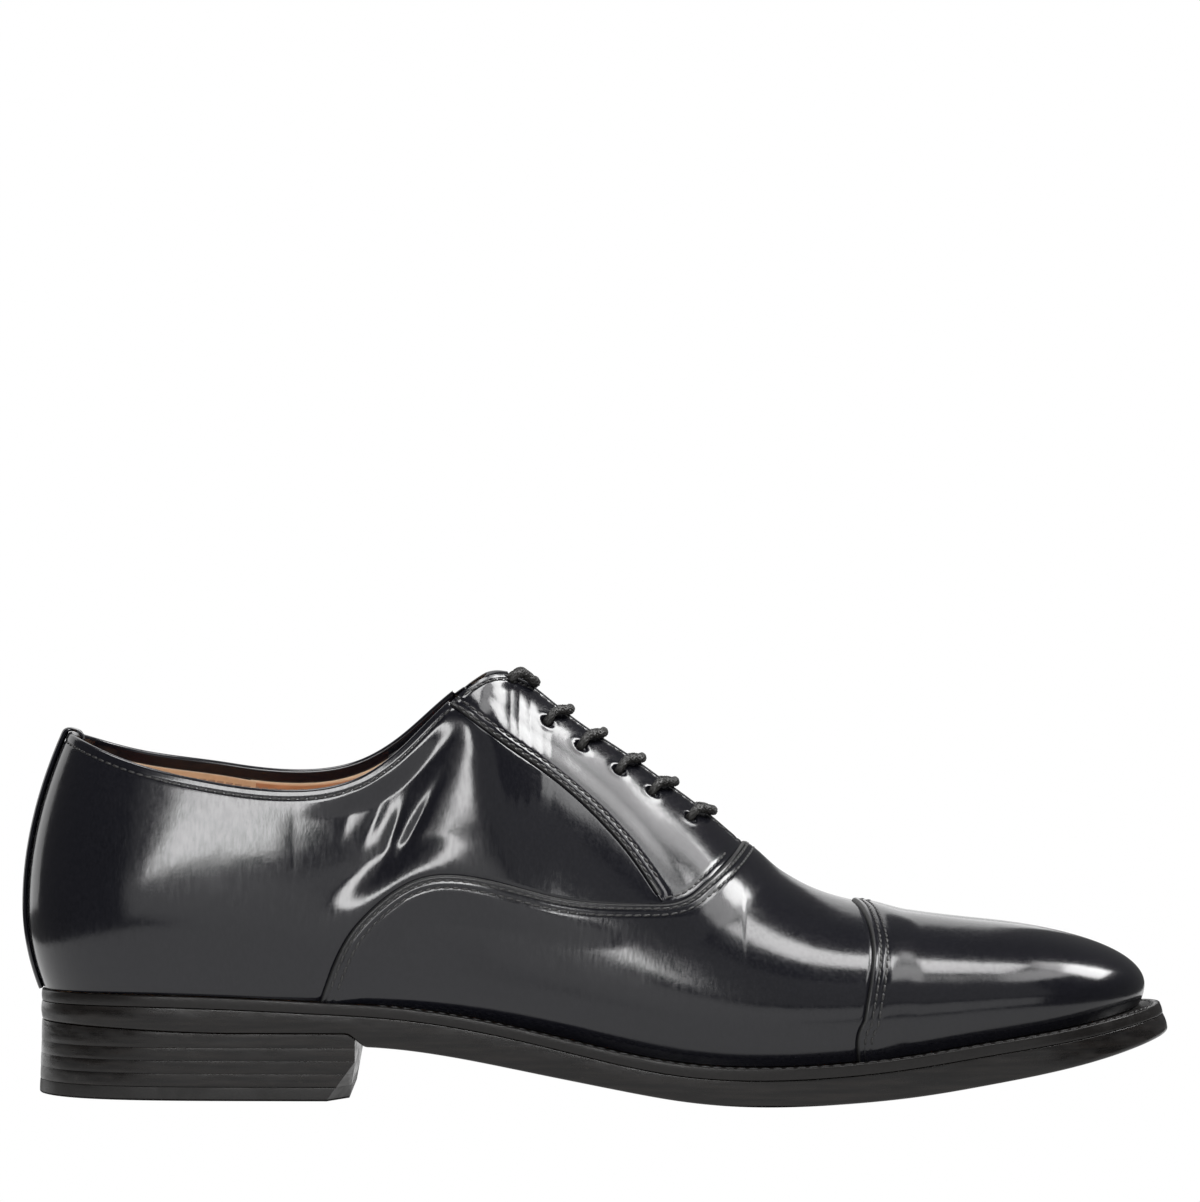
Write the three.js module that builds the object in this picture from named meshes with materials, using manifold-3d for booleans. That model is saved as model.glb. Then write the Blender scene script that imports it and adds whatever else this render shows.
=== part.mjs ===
// A leather oxford shoe (right foot), closed lacing, stitched toe cap, stacked heel.
// Millimetres, +X to the toe, +Z up, -Y the outer (lateral) side.
// Lengthwise places are stations: a percentage of SHOE_LENGTH from the back of the heel.

import * as THREE from "three";
import { mergeVertices } from "three/addons/utils/BufferGeometryUtils.js";
import Module from "manifold-3d";

const wasm = await Module();
wasm.setup();

// ---------------------------------------------------------------- driving dimensions
const SHOE_LENGTH = 298; // upper, back of the heel to the toe, along its widest line
const OUTER_BALL = 48.5; // middle line to the upper's outer side at the ball
const INNER_BALL = 46.5; // middle line to the upper's inner side at the ball
const OUTER_HEEL = 34.5; // middle line to the upper's outer side at the heel
const INNER_HEEL = 33.5;
const HEEL_RISE = 14.3; // underside of the waist above the ground, just before the heel
const WAIST_LIP = 3.3; // the outsole is this much thicker in the waist than over the heel
const SEAT_CURL = 1.8; // the heel seat rises this much to the back
const TOE_SPRING = 15.9; // underside of the sole's tip above the ground
const TOP_PIECE = 3.7; // rubber top piece under the heel
const LIFT_COUNT = 4; // leather lifts between the outsole and the top piece
const WELT = 3.0;
const LEATHER = 1.3; // vamp, quarters, cap and facings
const LINING = 0.9;
const COUNTER = 1.0; // heel stiffener
const PUFF = 0.7; // toe stiffener
const INSOLE = 3.0;
const SOCK = 1.0;
const SHANK = { from: 22, to: 47, width: 12, thick: 1.2 };
const STRIP_HALF_WIDTH = 3.2; // back strip
const STRIP_THICK = 0.9;
const FACING_GAP = 3.0; // between the two facings
const TONGUE_PLAY = 0.13; // between the tongue and the lace above it
const TONGUE_HALF_BASE = 14;
const TONGUE_HALF_TOP = 20;
const TONGUE_THICK = 1.4;
const LACE = 2.3; // diameter
const LACE_PLAY = 1.2; // eyelet hole wider than the lace
const EYELET_INSET = 10.5; // from the ridge, sideways
const EYELET_HOLE = LACE + LACE_PLAY;
const EYELET_RIM = 1.25;
const EYELET_THICK = 0.5;
const GAP = 0.3; // between touching pieces
const LAYER_GAP = 0.5; // between curved layers
const NAIL = { count: 5, diameter: 2.8 };
const AGLET = { length: 15, wall: 0.2 };

// ---------------------------------------------------------------- small tools
const LATERAL = -1;
const MEDIAL = 1;
const THROAT = 63.9; // station where the facings end
const FAN = 24.2; // station of the upright axis that the ribs behind it turn about
const LAST_STATION = 99.93;
const WELT_LIFT = GAP; // upper above the welt

const clamp = (x, low, high) => Math.min(high, Math.max(low, x));
const mix = (a, b, t) => a + (b - a) * t;
const smooth = (from, to, x) => {
  const t = clamp((x - from) / (to - from), 0, 1);
  return t * t * (3 - 2 * t);
};
const mm = (station) => (station * SHOE_LENGTH) / 100;
const stationOf = (x) => (100 * x) / SHOE_LENGTH;

// A natural cubic through the points [x, y]; the ends can be given a slope of nothing.
function spline(points, { levelStart = false, levelEnd = false } = {}) {
  const n = points.length;
  const x = points.map((p) => p[0]);
  const y = points.map((p) => p[1]);
  const step = (i) => x[i + 1] - x[i];
  const rise = (i) => (y[i + 1] - y[i]) / step(i);
  const lower = new Array(n).fill(0);
  const middle = new Array(n).fill(1);
  const upper = new Array(n).fill(0);
  const right = new Array(n).fill(0);
  for (let i = 1; i < n - 1; i++) {
    lower[i] = step(i - 1);
    middle[i] = 2 * (step(i - 1) + step(i));
    upper[i] = step(i);
    right[i] = 6 * (rise(i) - rise(i - 1));
  }
  if (levelStart) {
    middle[0] = 2 * step(0);
    upper[0] = step(0);
    right[0] = 6 * rise(0);
  }
  if (levelEnd) {
    middle[n - 1] = 2 * step(n - 2);
    lower[n - 1] = step(n - 2);
    right[n - 1] = -6 * rise(n - 2);
  }
  for (let i = 1; i < n; i++) {
    const share = lower[i] / middle[i - 1];
    middle[i] -= share * upper[i - 1];
    right[i] -= share * right[i - 1];
  }
  const bend = new Array(n).fill(0);
  for (let i = n - 1; i >= 0; i--) {
    bend[i] = (right[i] - upper[i] * (bend[i + 1] ?? 0)) / middle[i];
  }
  return (at) => {
    const t = clamp(at, x[0], x[n - 1]);
    let i = 0;
    while (i < n - 2 && t > x[i + 1]) {
      i++;
    }
    const h = step(i);
    const a = (x[i + 1] - t) / h;
    const b = (t - x[i]) / h;
    const curve = ((a ** 3 - a) * bend[i] + (b ** 3 - b) * bend[i + 1]) * h * h;
    return a * y[i] + b * y[i + 1] + curve / 6;
  };
}

// ---------------------------------------------------------------- profile of the sole
const waistRise = spline(
  [[25, 1], [31, 0.985], [38, 0.82], [45, 0.56], [52, 0.3], [59, 0.075], [66, 0]],
  { levelStart: true, levelEnd: true },
);
const toeRise = spline(
  [[66, 0], [73, 0.045], [79, 0.14], [86, 0.335], [95, 0.66], [102, 1]],
  { levelStart: true },
);
const soleDepth = spline([
  [0, 13.1], [9, 13.3], [17, 12.8], [24, 11.9], [31, 11], [38, 11], [45, 10.8],
  [53, 9.8], [64, 9.9], [74, 10.3], [84, 10.7], [93, 9.9], [100, 8.6], [103, 7.4],
]);
const rise = (station) => HEEL_RISE * waistRise(station) + TOE_SPRING * toeRise(station);

// The welt's upper face.
const soleTop = (station) => rise(station) + soleDepth(station);

// Underside of the outsole: the heel seat, then a small step down to the thicker waist.
function soleBottom(station) {
  const seat = HEEL_RISE + WAIST_LIP + SEAT_CURL * (1 - smooth(0, 19, station));
  return mix(seat, rise(station), smooth(28.7, 30.7, station));
}

// ---------------------------------------------------------------- shape of the upper
const middleLine = spline([[0, 0], [45, 0], [70, 0.8], [85, 2.4], [100, 4.2]], { levelStart: true });
const outerShare = spline(
  [[24.2, 0], [31, 0.01], [38, 0.12], [45, 0.34], [52, 0.62], [59, 0.88], [66, 1], [73, 0.88], [80, 0.62],
    [86, 0.38], [93, 0.17], [100, 0]],
  { levelStart: true },
);
const innerShare = spline(
  [[24.2, 0], [31, -0.08], [38, -0.06], [45, 0.12], [52, 0.42], [59, 0.74], [66, 0.95], [71, 1], [77, 0.87],
    [83, 0.57], [90, 0.2], [100, -0.15]],
  { levelStart: true },
);
const bulgeHeight = spline([
  [0, 22.6], [12, 18.7], [24, 16], [31, 12.8], [38, 11], [45, 11], [52, 11.8], [60, 11.8], [68, 11.2],
  [77, 10.4], [85, 8.8], [92, 7.3], [100, 5.2],
]);
const tuck = spline([
  [0, 4.3], [12, 3.6], [24, 3], [31, 3.4], [38, 4.2], [45, 4.3], [52, 3.5], [60, 2.6], [70, 2.2], [85, 1.9],
  [100, 1.5],
]);
const ridgeHeight = spline([
  [42, 93.6], [45, 89.5], [47, 86], [50.3, 80.9], [53.7, 76.4], [57, 71], [60.4, 64.6], [63.8, 56.5],
  [66.4, 50.6], [69.8, 44.2], [73.5, 39.7], [79, 34.7], [85, 29.8], [91, 25.8], [100, 19.8],
]);
const topLineHeight = spline([
  [3.5, 67.6], [9, 61], [15.4, 56.5], [20.8, 54.6], [24.3, 54.6], [27.9, 56.4], [30.5, 59.8], [33.2, 66.3],
  [36.9, 78.6], [39.6, 86.6], [42.3, 91], [45, 89.5],
]);
const topLineHalf = spline([
  [24.2, 28], [30, 27.9], [33.2, 27], [36.9, 24.2], [39.6, 20.2], [42.3, 13.4], [44, 6.6], [45, FACING_GAP / 2],
]);
const topLean = spline([
  [0, 66], [12, 70], [24, 76], [30, 77], [33.2, 72], [36.9, 60], [39.6, 48], [42.3, 36], [45, 26], [50, 21],
  [60, 18], [64, 13], [68, 5], [72, 0], [100, 0],
]);
const lowHandle = spline([
  [0, 0.34], [24, 0.36], [37, 0.42], [45, 0.45], [60, 0.46], [70, 0.54], [85, 0.6], [100, 0.6],
]);
const topHandle = spline([
  [0, 0.34], [24, 0.34], [33, 0.31], [42, 0.22], [50, 0.2], [60, 0.24], [66, 0.33], [72, 0.41], [80, 0.45],
  [100, 0.46],
]);
const MEDIAL_LIFT = 3; // the topline is this much higher on the inner side
const TOP_LINE_BACK = 10.5; // the topline's back, forward of the heel's furthest point
const FACING_START = 45; // station of the facings' top corner
const NOSE_START = 84.9; // station where the toe begins to round
const NOSE_POWER = 2.5;

// One away from the toe, falling to nothing at its tip.
function nose(station) {
  const along = clamp((station - NOSE_START) / (100 - NOSE_START), 0, 1);
  return Math.sqrt(1 - along ** NOSE_POWER);
}

function halfWidth(station, side) {
  const heel = side === LATERAL ? OUTER_HEEL : INNER_HEEL;
  const ball = side === LATERAL ? OUTER_BALL : INNER_BALL;
  const share = side === LATERAL ? outerShare(station) : innerShare(station);
  return (heel + (ball - heel) * share) * nose(station);
}

// Distance from the fan's axis to a heel-shaped curve, in the direction of a rib.
function heelRadius(angle, length, width) {
  const fourth = (Math.cos(angle) / length) ** 4;
  const second = (Math.sin(angle) / width) ** 2;
  return Math.sqrt(2 / (second + Math.sqrt(second ** 2 + 4 * fourth)));
}

// The widest point of a rib.
function bulgePoint(station, side) {
  const z = soleTop(station) + bulgeHeight(station);
  if (station < FAN) {
    const angle = (Math.PI / 2) * (station / FAN);
    const r = heelRadius(angle, mm(FAN), halfWidth(FAN, side));
    return new THREE.Vector3(mm(FAN) - r * Math.cos(angle), side * r * Math.sin(angle), z);
  }
  return new THREE.Vector3(mm(station), middleLine(station) + side * halfWidth(station, side), z);
}

// Outward direction of the upper's widest line, in plan.
function outward(station, side) {
  if (station <= 0) {
    return new THREE.Vector3(-1, 0, 0);
  }
  const d = Math.min(0.2, (100 - station) / 2);
  const along = bulgePoint(station + d, side).sub(bulgePoint(Math.max(0, station - d), side));
  return new THREE.Vector3(-side * along.y, side * along.x, 0).normalize();
}

// The facings close towards the throat and meet at it.
function halfGap(station) {
  const open = 1 - smooth(61, THROAT + 1, station);
  return station >= THROAT ? 0 : (FACING_GAP / 2) * open;
}

// The top of a rib: on the topline, on a facing edge or on the ridge of the toe.
function topPoint(station, side) {
  if (station >= FACING_START) {
    const bulge = soleTop(station) + bulgeHeight(station);
    const ridge = soleTop(station) + ridgeHeight(station);
    const y = middleLine(station) + side * halfGap(station) * nose(station);
    return new THREE.Vector3(mm(station), y, bulge + (ridge - bulge) * nose(station));
  }
  const angle = (Math.PI / 2) * Math.min(1, station / FAN);
  const r = heelRadius(angle, mm(FAN) - TOP_LINE_BACK, topLineHalf(FAN));
  const x = station < FAN ? mm(FAN) - r * Math.cos(angle) : mm(station);
  const y = station < FAN ? r * Math.sin(angle) : topLineHalf(station);
  const along = smooth(3.5, 18, stationOf(x)) * (1 - smooth(30, 44, stationOf(x)));
  const lift = side === MEDIAL ? MEDIAL_LIFT * along : 0;
  return new THREE.Vector3(x, side * y, soleTop(stationOf(x)) + topLineHeight(stationOf(x)) + lift);
}

// Height on the upper: -1 at the feather edge, 0 on the widest line, 1 at the top.
function upperPoint(station, side, height) {
  const bulge = bulgePoint(station, side);
  if (height < 0) {
    const inward = tuck(station) * height * height;
    const foot = bulge.clone().addScaledVector(outward(station, side), -inward);
    const floor = soleTop(stationOf(foot.x)) + WELT_LIFT;
    foot.z = mix(bulge.z, floor, -height);
    return foot;
  }
  const top = topPoint(station, side);
  const lean = THREE.MathUtils.degToRad(topLean(station));
  const inwardDirection = top.clone().sub(bulge).setZ(0).normalize();
  const arrive = inwardDirection.multiplyScalar(Math.cos(lean)).setZ(Math.sin(lean));
  const low = bulge.clone();
  low.z += lowHandle(station) * (top.z - bulge.z);
  const high = top.clone().addScaledVector(arrive, -topHandle(station) * top.distanceTo(bulge));
  const a = 1 - height;
  return bulge.multiplyScalar(a ** 3)
    .addScaledVector(low, 3 * a * a * height)
    .addScaledVector(high, 3 * a * height * height)
    .addScaledVector(top, height ** 3);
}

function sideNormal(station, side, height) {
  const ds = Math.min(0.2, (LAST_STATION - station) / 2 + 0.003);
  const dh = 0.01;
  const from = upperPoint(Math.max(0, station - ds), side, height);
  const along = upperPoint(station + ds, side, height).sub(from);
  const low = upperPoint(station, side, Math.max(-1, height - dh));
  const up = upperPoint(station, side, Math.min(1, height + dh)).sub(low);
  return along.cross(up).multiplyScalar(-side).normalize();
}

// Outward direction; where the two sides meet, at the back and along the toe's ridge, they share one.
function upperNormal(station, side, height) {
  if (station <= 0 || (height >= 1 && station >= THROAT)) {
    return sideNormal(station, LATERAL, height).add(sideNormal(station, MEDIAL, height)).normalize();
  }
  return sideNormal(station, side, height);
}

// A point at a depth below the upper's outer face; a depth below zero stands proud of it.
function under(station, side, height, depth) {
  return upperPoint(station, side, height).addScaledVector(upperNormal(station, side, height), -depth);
}

// The height share at which a rib reaches a level above the welt.
function heightAt(station, side, level) {
  let low = -1;
  let high = 1;
  for (let i = 0; i < 30; i++) {
    const middle = (low + high) / 2;
    const above = upperPoint(station, side, middle).z - soleTop(station) > level;
    low = above ? low : middle;
    high = above ? middle : high;
  }
  return (low + high) / 2;
}

// ---------------------------------------------------------------- seams, as heights above the welt
const vampSeam = spline([
  [26.5, 0], [27.9, 11.4], [30.6, 23.8], [35, 34.2], [38.6, 37], [47.6, 36.4], [55.6, 39.6], [59.2, 43.2],
  [60.6, 46.9], [62, 50.7], [63.2, 54.2], [THROAT, 56.4],
]);
const facingSeam = spline([
  [37.9, 81], [40.1, 77.6], [42.6, 73.5], [46, 68.4], [49.3, 62.7], [51.9, 56.8], [53.9, 51.1], [56.2, 42.4],
]);
const capBow = spline([[-1, 0], [0, 0.4], [0.4, 1.3], [0.7, 0.9], [1, -0.1]]);
const liningSeam = spline([[40, 0], [48, 12], [56, 26], [63, 44], [66, 60]]);
const VAMP_START = 26.7;
const FACING_SEAM_START = 37.9;
const FACING_SEAM_END = 56;
const FACING_END = 63.2;
const LINING_END = 62.9;
const CAP_EDGE = 73.8;

// ---------------------------------------------------------------- building solids
// A sheet has faces of corners; a corner has an outer and an inner point. Its rim is closed by walls.
class Sheet {
  constructor() {
    this.index = new Map();
    this.outer = [];
    this.inner = [];
    this.faces = [];
  }

  corner({ outer, inner }) {
    const key = outer.toArray().map((v) => Math.round(v * 1000)).join();
    if (!this.index.has(key)) {
      this.index.set(key, this.outer.length);
      this.outer.push(outer);
      this.inner.push(inner);
    }
    return this.index.get(key);
  }

  face(a, b, c) {
    if (a !== b && b !== c && c !== a) {
      this.faces.push([a, b, c]);
    }
  }

  // Columns run forward and rows run up as seen from outside on the lateral side.
  grid(columns, flip = false) {
    const ids = columns.map((column) => column.map((corner) => this.corner(corner)));
    for (let i = 0; i + 1 < ids.length; i++) {
      for (let j = 0; j + 1 < ids[i].length; j++) {
        const [a, b, c, d] = [ids[i][j], ids[i + 1][j], ids[i + 1][j + 1], ids[i][j + 1]];
        if (flip) {
          this.face(a, c, b);
          this.face(a, d, c);
        } else {
          this.face(a, b, c);
          this.face(a, c, d);
        }
      }
    }
    return this;
  }

  geometry() {
    const count = this.outer.length;
    const triangles = [];
    const rim = new Map();
    for (const [a, b, c] of this.faces) {
      triangles.push([a, b, c], [a + count, c + count, b + count]);
      for (const [from, to] of [[a, b], [b, c], [c, a]]) {
        if (!rim.delete(`${to},${from}`)) {
          rim.set(`${from},${to}`, [from, to]);
        }
      }
    }
    for (const [from, to] of rim.values()) {
      triangles.push([to, from, from + count], [to, from + count, to + count]);
    }
    const shape = new THREE.BufferGeometry();
    const places = [...this.outer, ...this.inner].flatMap((p) => p.toArray());
    shape.setAttribute("position", new THREE.Float32BufferAttribute(places, 3));
    shape.setIndex(triangles.flat());
    return shape;
  }
}

function toManifold(geometry) {
  const bare = geometry.clone();
  bare.deleteAttribute("normal");
  bare.deleteAttribute("uv");
  const merged = mergeVertices(bare, 1e-4);
  const mesh = new wasm.Mesh({
    numProp: 3,
    vertProperties: new Float32Array(merged.attributes.position.array),
    triVerts: new Uint32Array(merged.index.array),
  });
  return new wasm.Manifold(mesh);
}

function toGeometry(solid) {
  const mesh = solid.getMesh();
  const shape = new THREE.BufferGeometry();
  shape.setAttribute("position", new THREE.Float32BufferAttribute(mesh.vertProperties, 3));
  shape.setIndex([...mesh.triVerts]);
  return shape;
}

function cut(geometry, tools) {
  let solid = toManifold(geometry);
  for (const tool of tools) {
    solid = solid.subtract(toManifold(tool));
  }
  return toGeometry(solid);
}

const shoe = new THREE.Group();

function add(name, geometry, material) {
  geometry.computeVertexNormals();
  const mesh = new THREE.Mesh(geometry, material);
  mesh.name = name;
  shoe.add(mesh);
  return mesh;
}

// ---------------------------------------------------------------- materials
const finish = (color, roughness, metalness = 0) =>
  new THREE.MeshStandardMaterial({ color, roughness, metalness, side: THREE.DoubleSide });
const upperLeather = finish(0x16161c, 0.3);
const soleLeather = finish(0x1d1714, 0.4);
const liningLeather = finish(0xb97d55, 0.6);
const suede = finish(0xcda57d, 0.9);
const rubber = finish(0x2a2624, 0.7);
const cork = finish(0xb08a5a, 0.9);
const board = finish(0xc2a27a, 0.8);
const steel = finish(0x8c8c90, 0.35, 1);
const cord = finish(0x2d2a28, 0.6);

// ---------------------------------------------------------------- stations
const ROWS = 8; // of faces up one side
const LOW_ROWS = 2; // of them below the widest line
const HEEL_STATIONS = [0, 3.4, 6.8, 10.2, 13.6, 17, 20.6, FAN];
const BODY_STATIONS = [27.5, 30.7, 34, 37, 40, 43, 46, 49, 52, 55, 58, 60, 61.6, 62.9];
const FRONT_STATIONS = [THROAT, 67, 70.4];
const TOE_STATIONS = [77, 80, 83, 86, 88.8, 91.4, 93.8, 95.7, 97.2, 98.7, 99.5, LAST_STATION];
const ALL_STATIONS = [...HEEL_STATIONS, ...BODY_STATIONS, ...FRONT_STATIONS, CAP_EDGE, ...TOE_STATIONS];

function stationsBetween(from, to) {
  const near = 0.6;
  const inside = ALL_STATIONS.filter((s) => s > from + near && s < to - near);
  return [from, ...inside, to];
}

// Rows from the feather edge keep one row on the widest line, so that stacked sheets match.
function rowHeight(from, to, j, rows) {
  if (from > -1 || to <= 0) {
    return mix(from, to, j / rows);
  }
  return j <= LOW_ROWS ? j / LOW_ROWS - 1 : (to * (j - LOW_ROWS)) / (rows - LOW_ROWS);
}

// One column of a sheet on the upper, between two height shares.
function column(station, side, from, to, rows, outerDepth, innerDepth, bow = () => 0) {
  const corners = [];
  for (let j = 0; j <= rows; j++) {
    const height = rowHeight(from, to, j, rows);
    const at = station + bow(height);
    const depth = (value) => (typeof value === "function" ? value(at, height) : value);
    corners.push({
      outer: under(at, side, height, depth(outerDepth)),
      inner: under(at, side, height, depth(innerDepth)),
    });
  }
  return corners;
}

// A sheet on one side of the upper. bottom and top give a height share at a station.
function sideSheet(sheet, side, stations, bottom, top, rows, outerDepth, innerDepth, bow) {
  const columns = stations.map((s) =>
    column(s, side, bottom(s, side), top(s, side), rows, outerDepth, innerDepth, bow && bow(s)));
  return sheet.grid(columns, side === MEDIAL);
}

const feather = () => -1;
const crown = () => 1;
const bothSides = [LATERAL, MEDIAL];
const sideName = (side) => (side === LATERAL ? "lateral" : "medial");

// ---------------------------------------------------------------- outer leather
const vampTop = (s, side) => (s >= THROAT ? 1 : heightAt(s, side, vampSeam(s)));
const seamStep = 0.6; // the quarters stop this far below or above a seam

function quarter(side) {
  const stations = stationsBetween(0.12, FACING_SEAM_END - 0.4);
  const bottom = (s) => (s < VAMP_START ? -1 : heightAt(s, side, vampSeam(s) + seamStep));
  const top = (s) => (s < FACING_SEAM_START ? 1 : heightAt(s, side, facingSeam(s) - seamStep));
  return sideSheet(new Sheet(), side, stations, bottom, top, ROWS, 0, LEATHER).geometry();
}

function facing(side) {
  const stations = stationsBetween(FACING_SEAM_START + 0.2, FACING_END);
  const bottom = (s) => {
    const seam = s < FACING_SEAM_END ? facingSeam(s) : vampSeam(s) + seamStep;
    return Math.min(0.995, heightAt(s, side, Math.max(seam, s < FACING_SEAM_END ? 0 : seam)));
  };
  return sideSheet(new Sheet(), side, stations, bottom, crown, 5, 0, LEATHER).geometry();
}

function vamp() {
  const sheet = new Sheet();
  const wing = stationsBetween(VAMP_START, THROAT);
  const front = stationsBetween(THROAT, CAP_EDGE - 0.12);
  const bow = (s) => (height) => capBow(height) * smooth(67, CAP_EDGE, s);
  for (const side of bothSides) {
    sideSheet(sheet, side, wing, feather, vampTop, ROWS, 0, LEATHER);
    sideSheet(sheet, side, front, feather, crown, ROWS, 0, LEATHER, bow);
  }
  return sheet.geometry();
}

// Closes the narrow strip between the two sides' last columns at the toe's tip.
function closeTip(sheet, outerDepth, innerDepth, rows, from) {
  const ends = bothSides.map((side) => column(LAST_STATION, side, from, 1, rows, outerDepth, innerDepth));
  return sheet.grid(ends);
}

function toeSheet(stations, rows, outerDepth, innerDepth, bow) {
  const sheet = new Sheet();
  for (const side of bothSides) {
    sideSheet(sheet, side, stations, feather, crown, rows, outerDepth, innerDepth, bow);
  }
  return closeTip(sheet, outerDepth, innerDepth, rows, -1);
}

function toeCap() {
  const bow = (s) => (height) => capBow(height) * (1 - smooth(CAP_EDGE, 80, s));
  return toeSheet([CAP_EDGE, ...TOE_STATIONS], ROWS, 0, LEATHER, bow).geometry();
}

function backStrip() {
  const half = (FAN * STRIP_HALF_WIDTH) / ((Math.PI / 2) * mm(FAN));
  const sheet = new Sheet();
  for (const side of bothSides) {
    sideSheet(sheet, side, [0, half / 2, half], () => -1, () => 1, 9, -GAP - STRIP_THICK, -GAP);
  }
  return sheet.geometry();
}

// ---------------------------------------------------------------- stiffeners and linings
const STIFF_DEPTH = LEATHER + LAYER_GAP;
const COUNTER_TOP = 36; // above the welt, at the back
const COUNTER_END = 27;
const PUFF_START = 77;
const HEEL_LINING_END = 17;

// Lining lies against the outer leather, and further in where a stiffener is between them.
function liningDepth(station, side, height) {
  const above = upperPoint(station, side, height).z - soleTop(station);
  const below = 1 - smooth(COUNTER_TOP + 2, COUNTER_TOP + 12, above);
  const heel = (1 - smooth(COUNTER_END, 34, station)) * below;
  const toe = smooth(69, 76, station);
  return STIFF_DEPTH + heel * (COUNTER + LAYER_GAP) + toe * (PUFF + LAYER_GAP);
}

const liningOuter = (side) => (station, height) => liningDepth(station, side, height);
const liningInner = (side) => (station, height) => liningDepth(station, side, height) + LINING;

function counter() {
  const sheet = new Sheet();
  const top = (s, side) => heightAt(s, side, COUNTER_TOP - 12 * smooth(12, COUNTER_END, s));
  for (const side of bothSides) {
    const stations = stationsBetween(0, COUNTER_END);
    sideSheet(sheet, side, stations, feather, top, 5, STIFF_DEPTH, STIFF_DEPTH + COUNTER);
  }
  return sheet.geometry();
}

function puff() {
  const stations = [PUFF_START, ...TOE_STATIONS.slice(1)];
  return toeSheet(stations, ROWS, STIFF_DEPTH, STIFF_DEPTH + PUFF).geometry();
}

function heelLining() {
  const sheet = new Sheet();
  for (const side of bothSides) {
    const stations = stationsBetween(0, HEEL_LINING_END);
    sideSheet(sheet, side, stations, feather, crown, 8, liningOuter(side), liningInner(side));
  }
  return sheet.geometry();
}

const liningLow = (s, side) => (s < 40 ? -1 : heightAt(s, side, liningSeam(s) + 2 * seamStep));

function quarterLining(side) {
  const stations = stationsBetween(HEEL_LINING_END + 0.15, LINING_END);
  const depths = [liningOuter(side), liningInner(side)];
  return sideSheet(new Sheet(), side, stations, liningLow, crown, ROWS, ...depths).geometry();
}

function vampLining() {
  const sheet = new Sheet();
  const top = (s, side) => (s >= THROAT ? 1 : heightAt(s, side, liningSeam(s)));
  for (const side of bothSides) {
    const depths = [liningOuter(side), liningInner(side)];
    sideSheet(sheet, side, stationsBetween(41, THROAT), feather, top, ROWS, ...depths);
    const front = [THROAT, 67, 70.4, CAP_EDGE, ...TOE_STATIONS];
    sideSheet(sheet, side, front, feather, crown, ROWS, ...depths);
  }
  const depth = STIFF_DEPTH + PUFF + LAYER_GAP;
  return closeTip(sheet, depth, depth + LINING, ROWS, -1).geometry();
}

// ---------------------------------------------------------------- depths inside the facings
const RING_RADIUS = EYELET_HOLE / 2 + EYELET_RIM;
const RING_GAP = 0.05 + 0.1 * RING_RADIUS ** 2; // a flat ring on a curved lining
const RING_DEPTH = STIFF_DEPTH + LINING + RING_GAP;
const ROUTE_DEPTH = RING_DEPTH + EYELET_THICK + GAP + LACE / 2 + 0.3; // the lace's middle
const CROSSING_DROP = 0.7; // a crossing hangs this much lower at the middle
const UPRIGHT = 1.4; // depths across the facings' slope, taken upright
const TONGUE_DROP = UPRIGHT * (ROUTE_DEPTH + LACE / 2) + TONGUE_PLAY;

// ---------------------------------------------------------------- tongue
const TONGUE_START = 36.2;
const TONGUE_END = 66;
const tongueFall = spline([[36.2, 17.5], [39.5, 9.2], [43, 3.4], [48, 0.4], [52, 0]], { levelEnd: true });
const tongueSteep = spline([[36, 6], [45, 9], [55, 9], [62, 6.8], [67, 5]]);
const tongueRound = spline([[36, 12], [45, 8.5], [55, 8.5], [62, 10], [67, 12]]);

// The tongue's upper face: a rounded ridge that falls back inside the opening at its top end.
function tonguePoint(station, share, depth) {
  const half = mix(TONGUE_HALF_TOP, TONGUE_HALF_BASE, smooth(36, 45, station));
  const taper = Math.sqrt(smooth(TONGUE_START - 3.5, TONGUE_START + 3.5, station));
  const y = half * taper * share;
  const round = tongueRound(station);
  const drop = tongueSteep(station) * (Math.sqrt(1 + (y / round) ** 2) - 1);
  const climb = 1.5 * Math.max(0, 42 - station);
  const ridge = soleTop(station) + ridgeHeight(Math.max(42, station)) + climb;
  const z = ridge - TONGUE_DROP - tongueFall(station) - drop - depth;
  return new THREE.Vector3(mm(station), middleLine(station) + y, z);
}

function tongueLayer(from, thickness) {
  const stations = [TONGUE_START, 37.5, 39.5, 42, 45, 49, 53, 57, 61, TONGUE_END];
  const shares = [-1, -0.7, -0.42, -0.2, 0, 0.2, 0.42, 0.7, 1];
  const columns = stations.map((s) => shares.map((share) => ({
    outer: tonguePoint(s, share, from),
    inner: tonguePoint(s, share, from + thickness),
  })));
  return new Sheet().grid(columns).geometry();
}

// ---------------------------------------------------------------- sole
const reach = spline([
  [0, -3.7], [12, -2.4], [24, -1.5], [31, -1.1], [38, -0.9], [45, 0.3], [52, 1.9], [60, 3.1], [70, 3.5],
  [85, 3.8], [100, 4.1],
]);
const waistTuck = spline([[24, 0], [31, 0.4], [38, 1.3], [45, 1.1], [52, 0.4], [60, 0]]);
const toeFlare = (station) => 2 * smooth(84, 100, station);
const SOLE_STATIONS = [...HEEL_STATIONS, 28.7, 29.4, 30.1, 30.8, 34, 37, 41, 45, 49, 53, 57, 61, 65, 69, 73,
  77, 80, 83, 86, 88.8, 91.4, 93.8, 95.7, 97.2, 98.7, 99.5, LAST_STATION];

function edgePoint(station, side, distance) {
  const point = bulgePoint(station, side);
  const pulled = side === MEDIAL ? waistTuck(clamp(station, 24, 60)) : 0;
  return point.addScaledVector(outward(station, side), distance - pulled);
}

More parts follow.
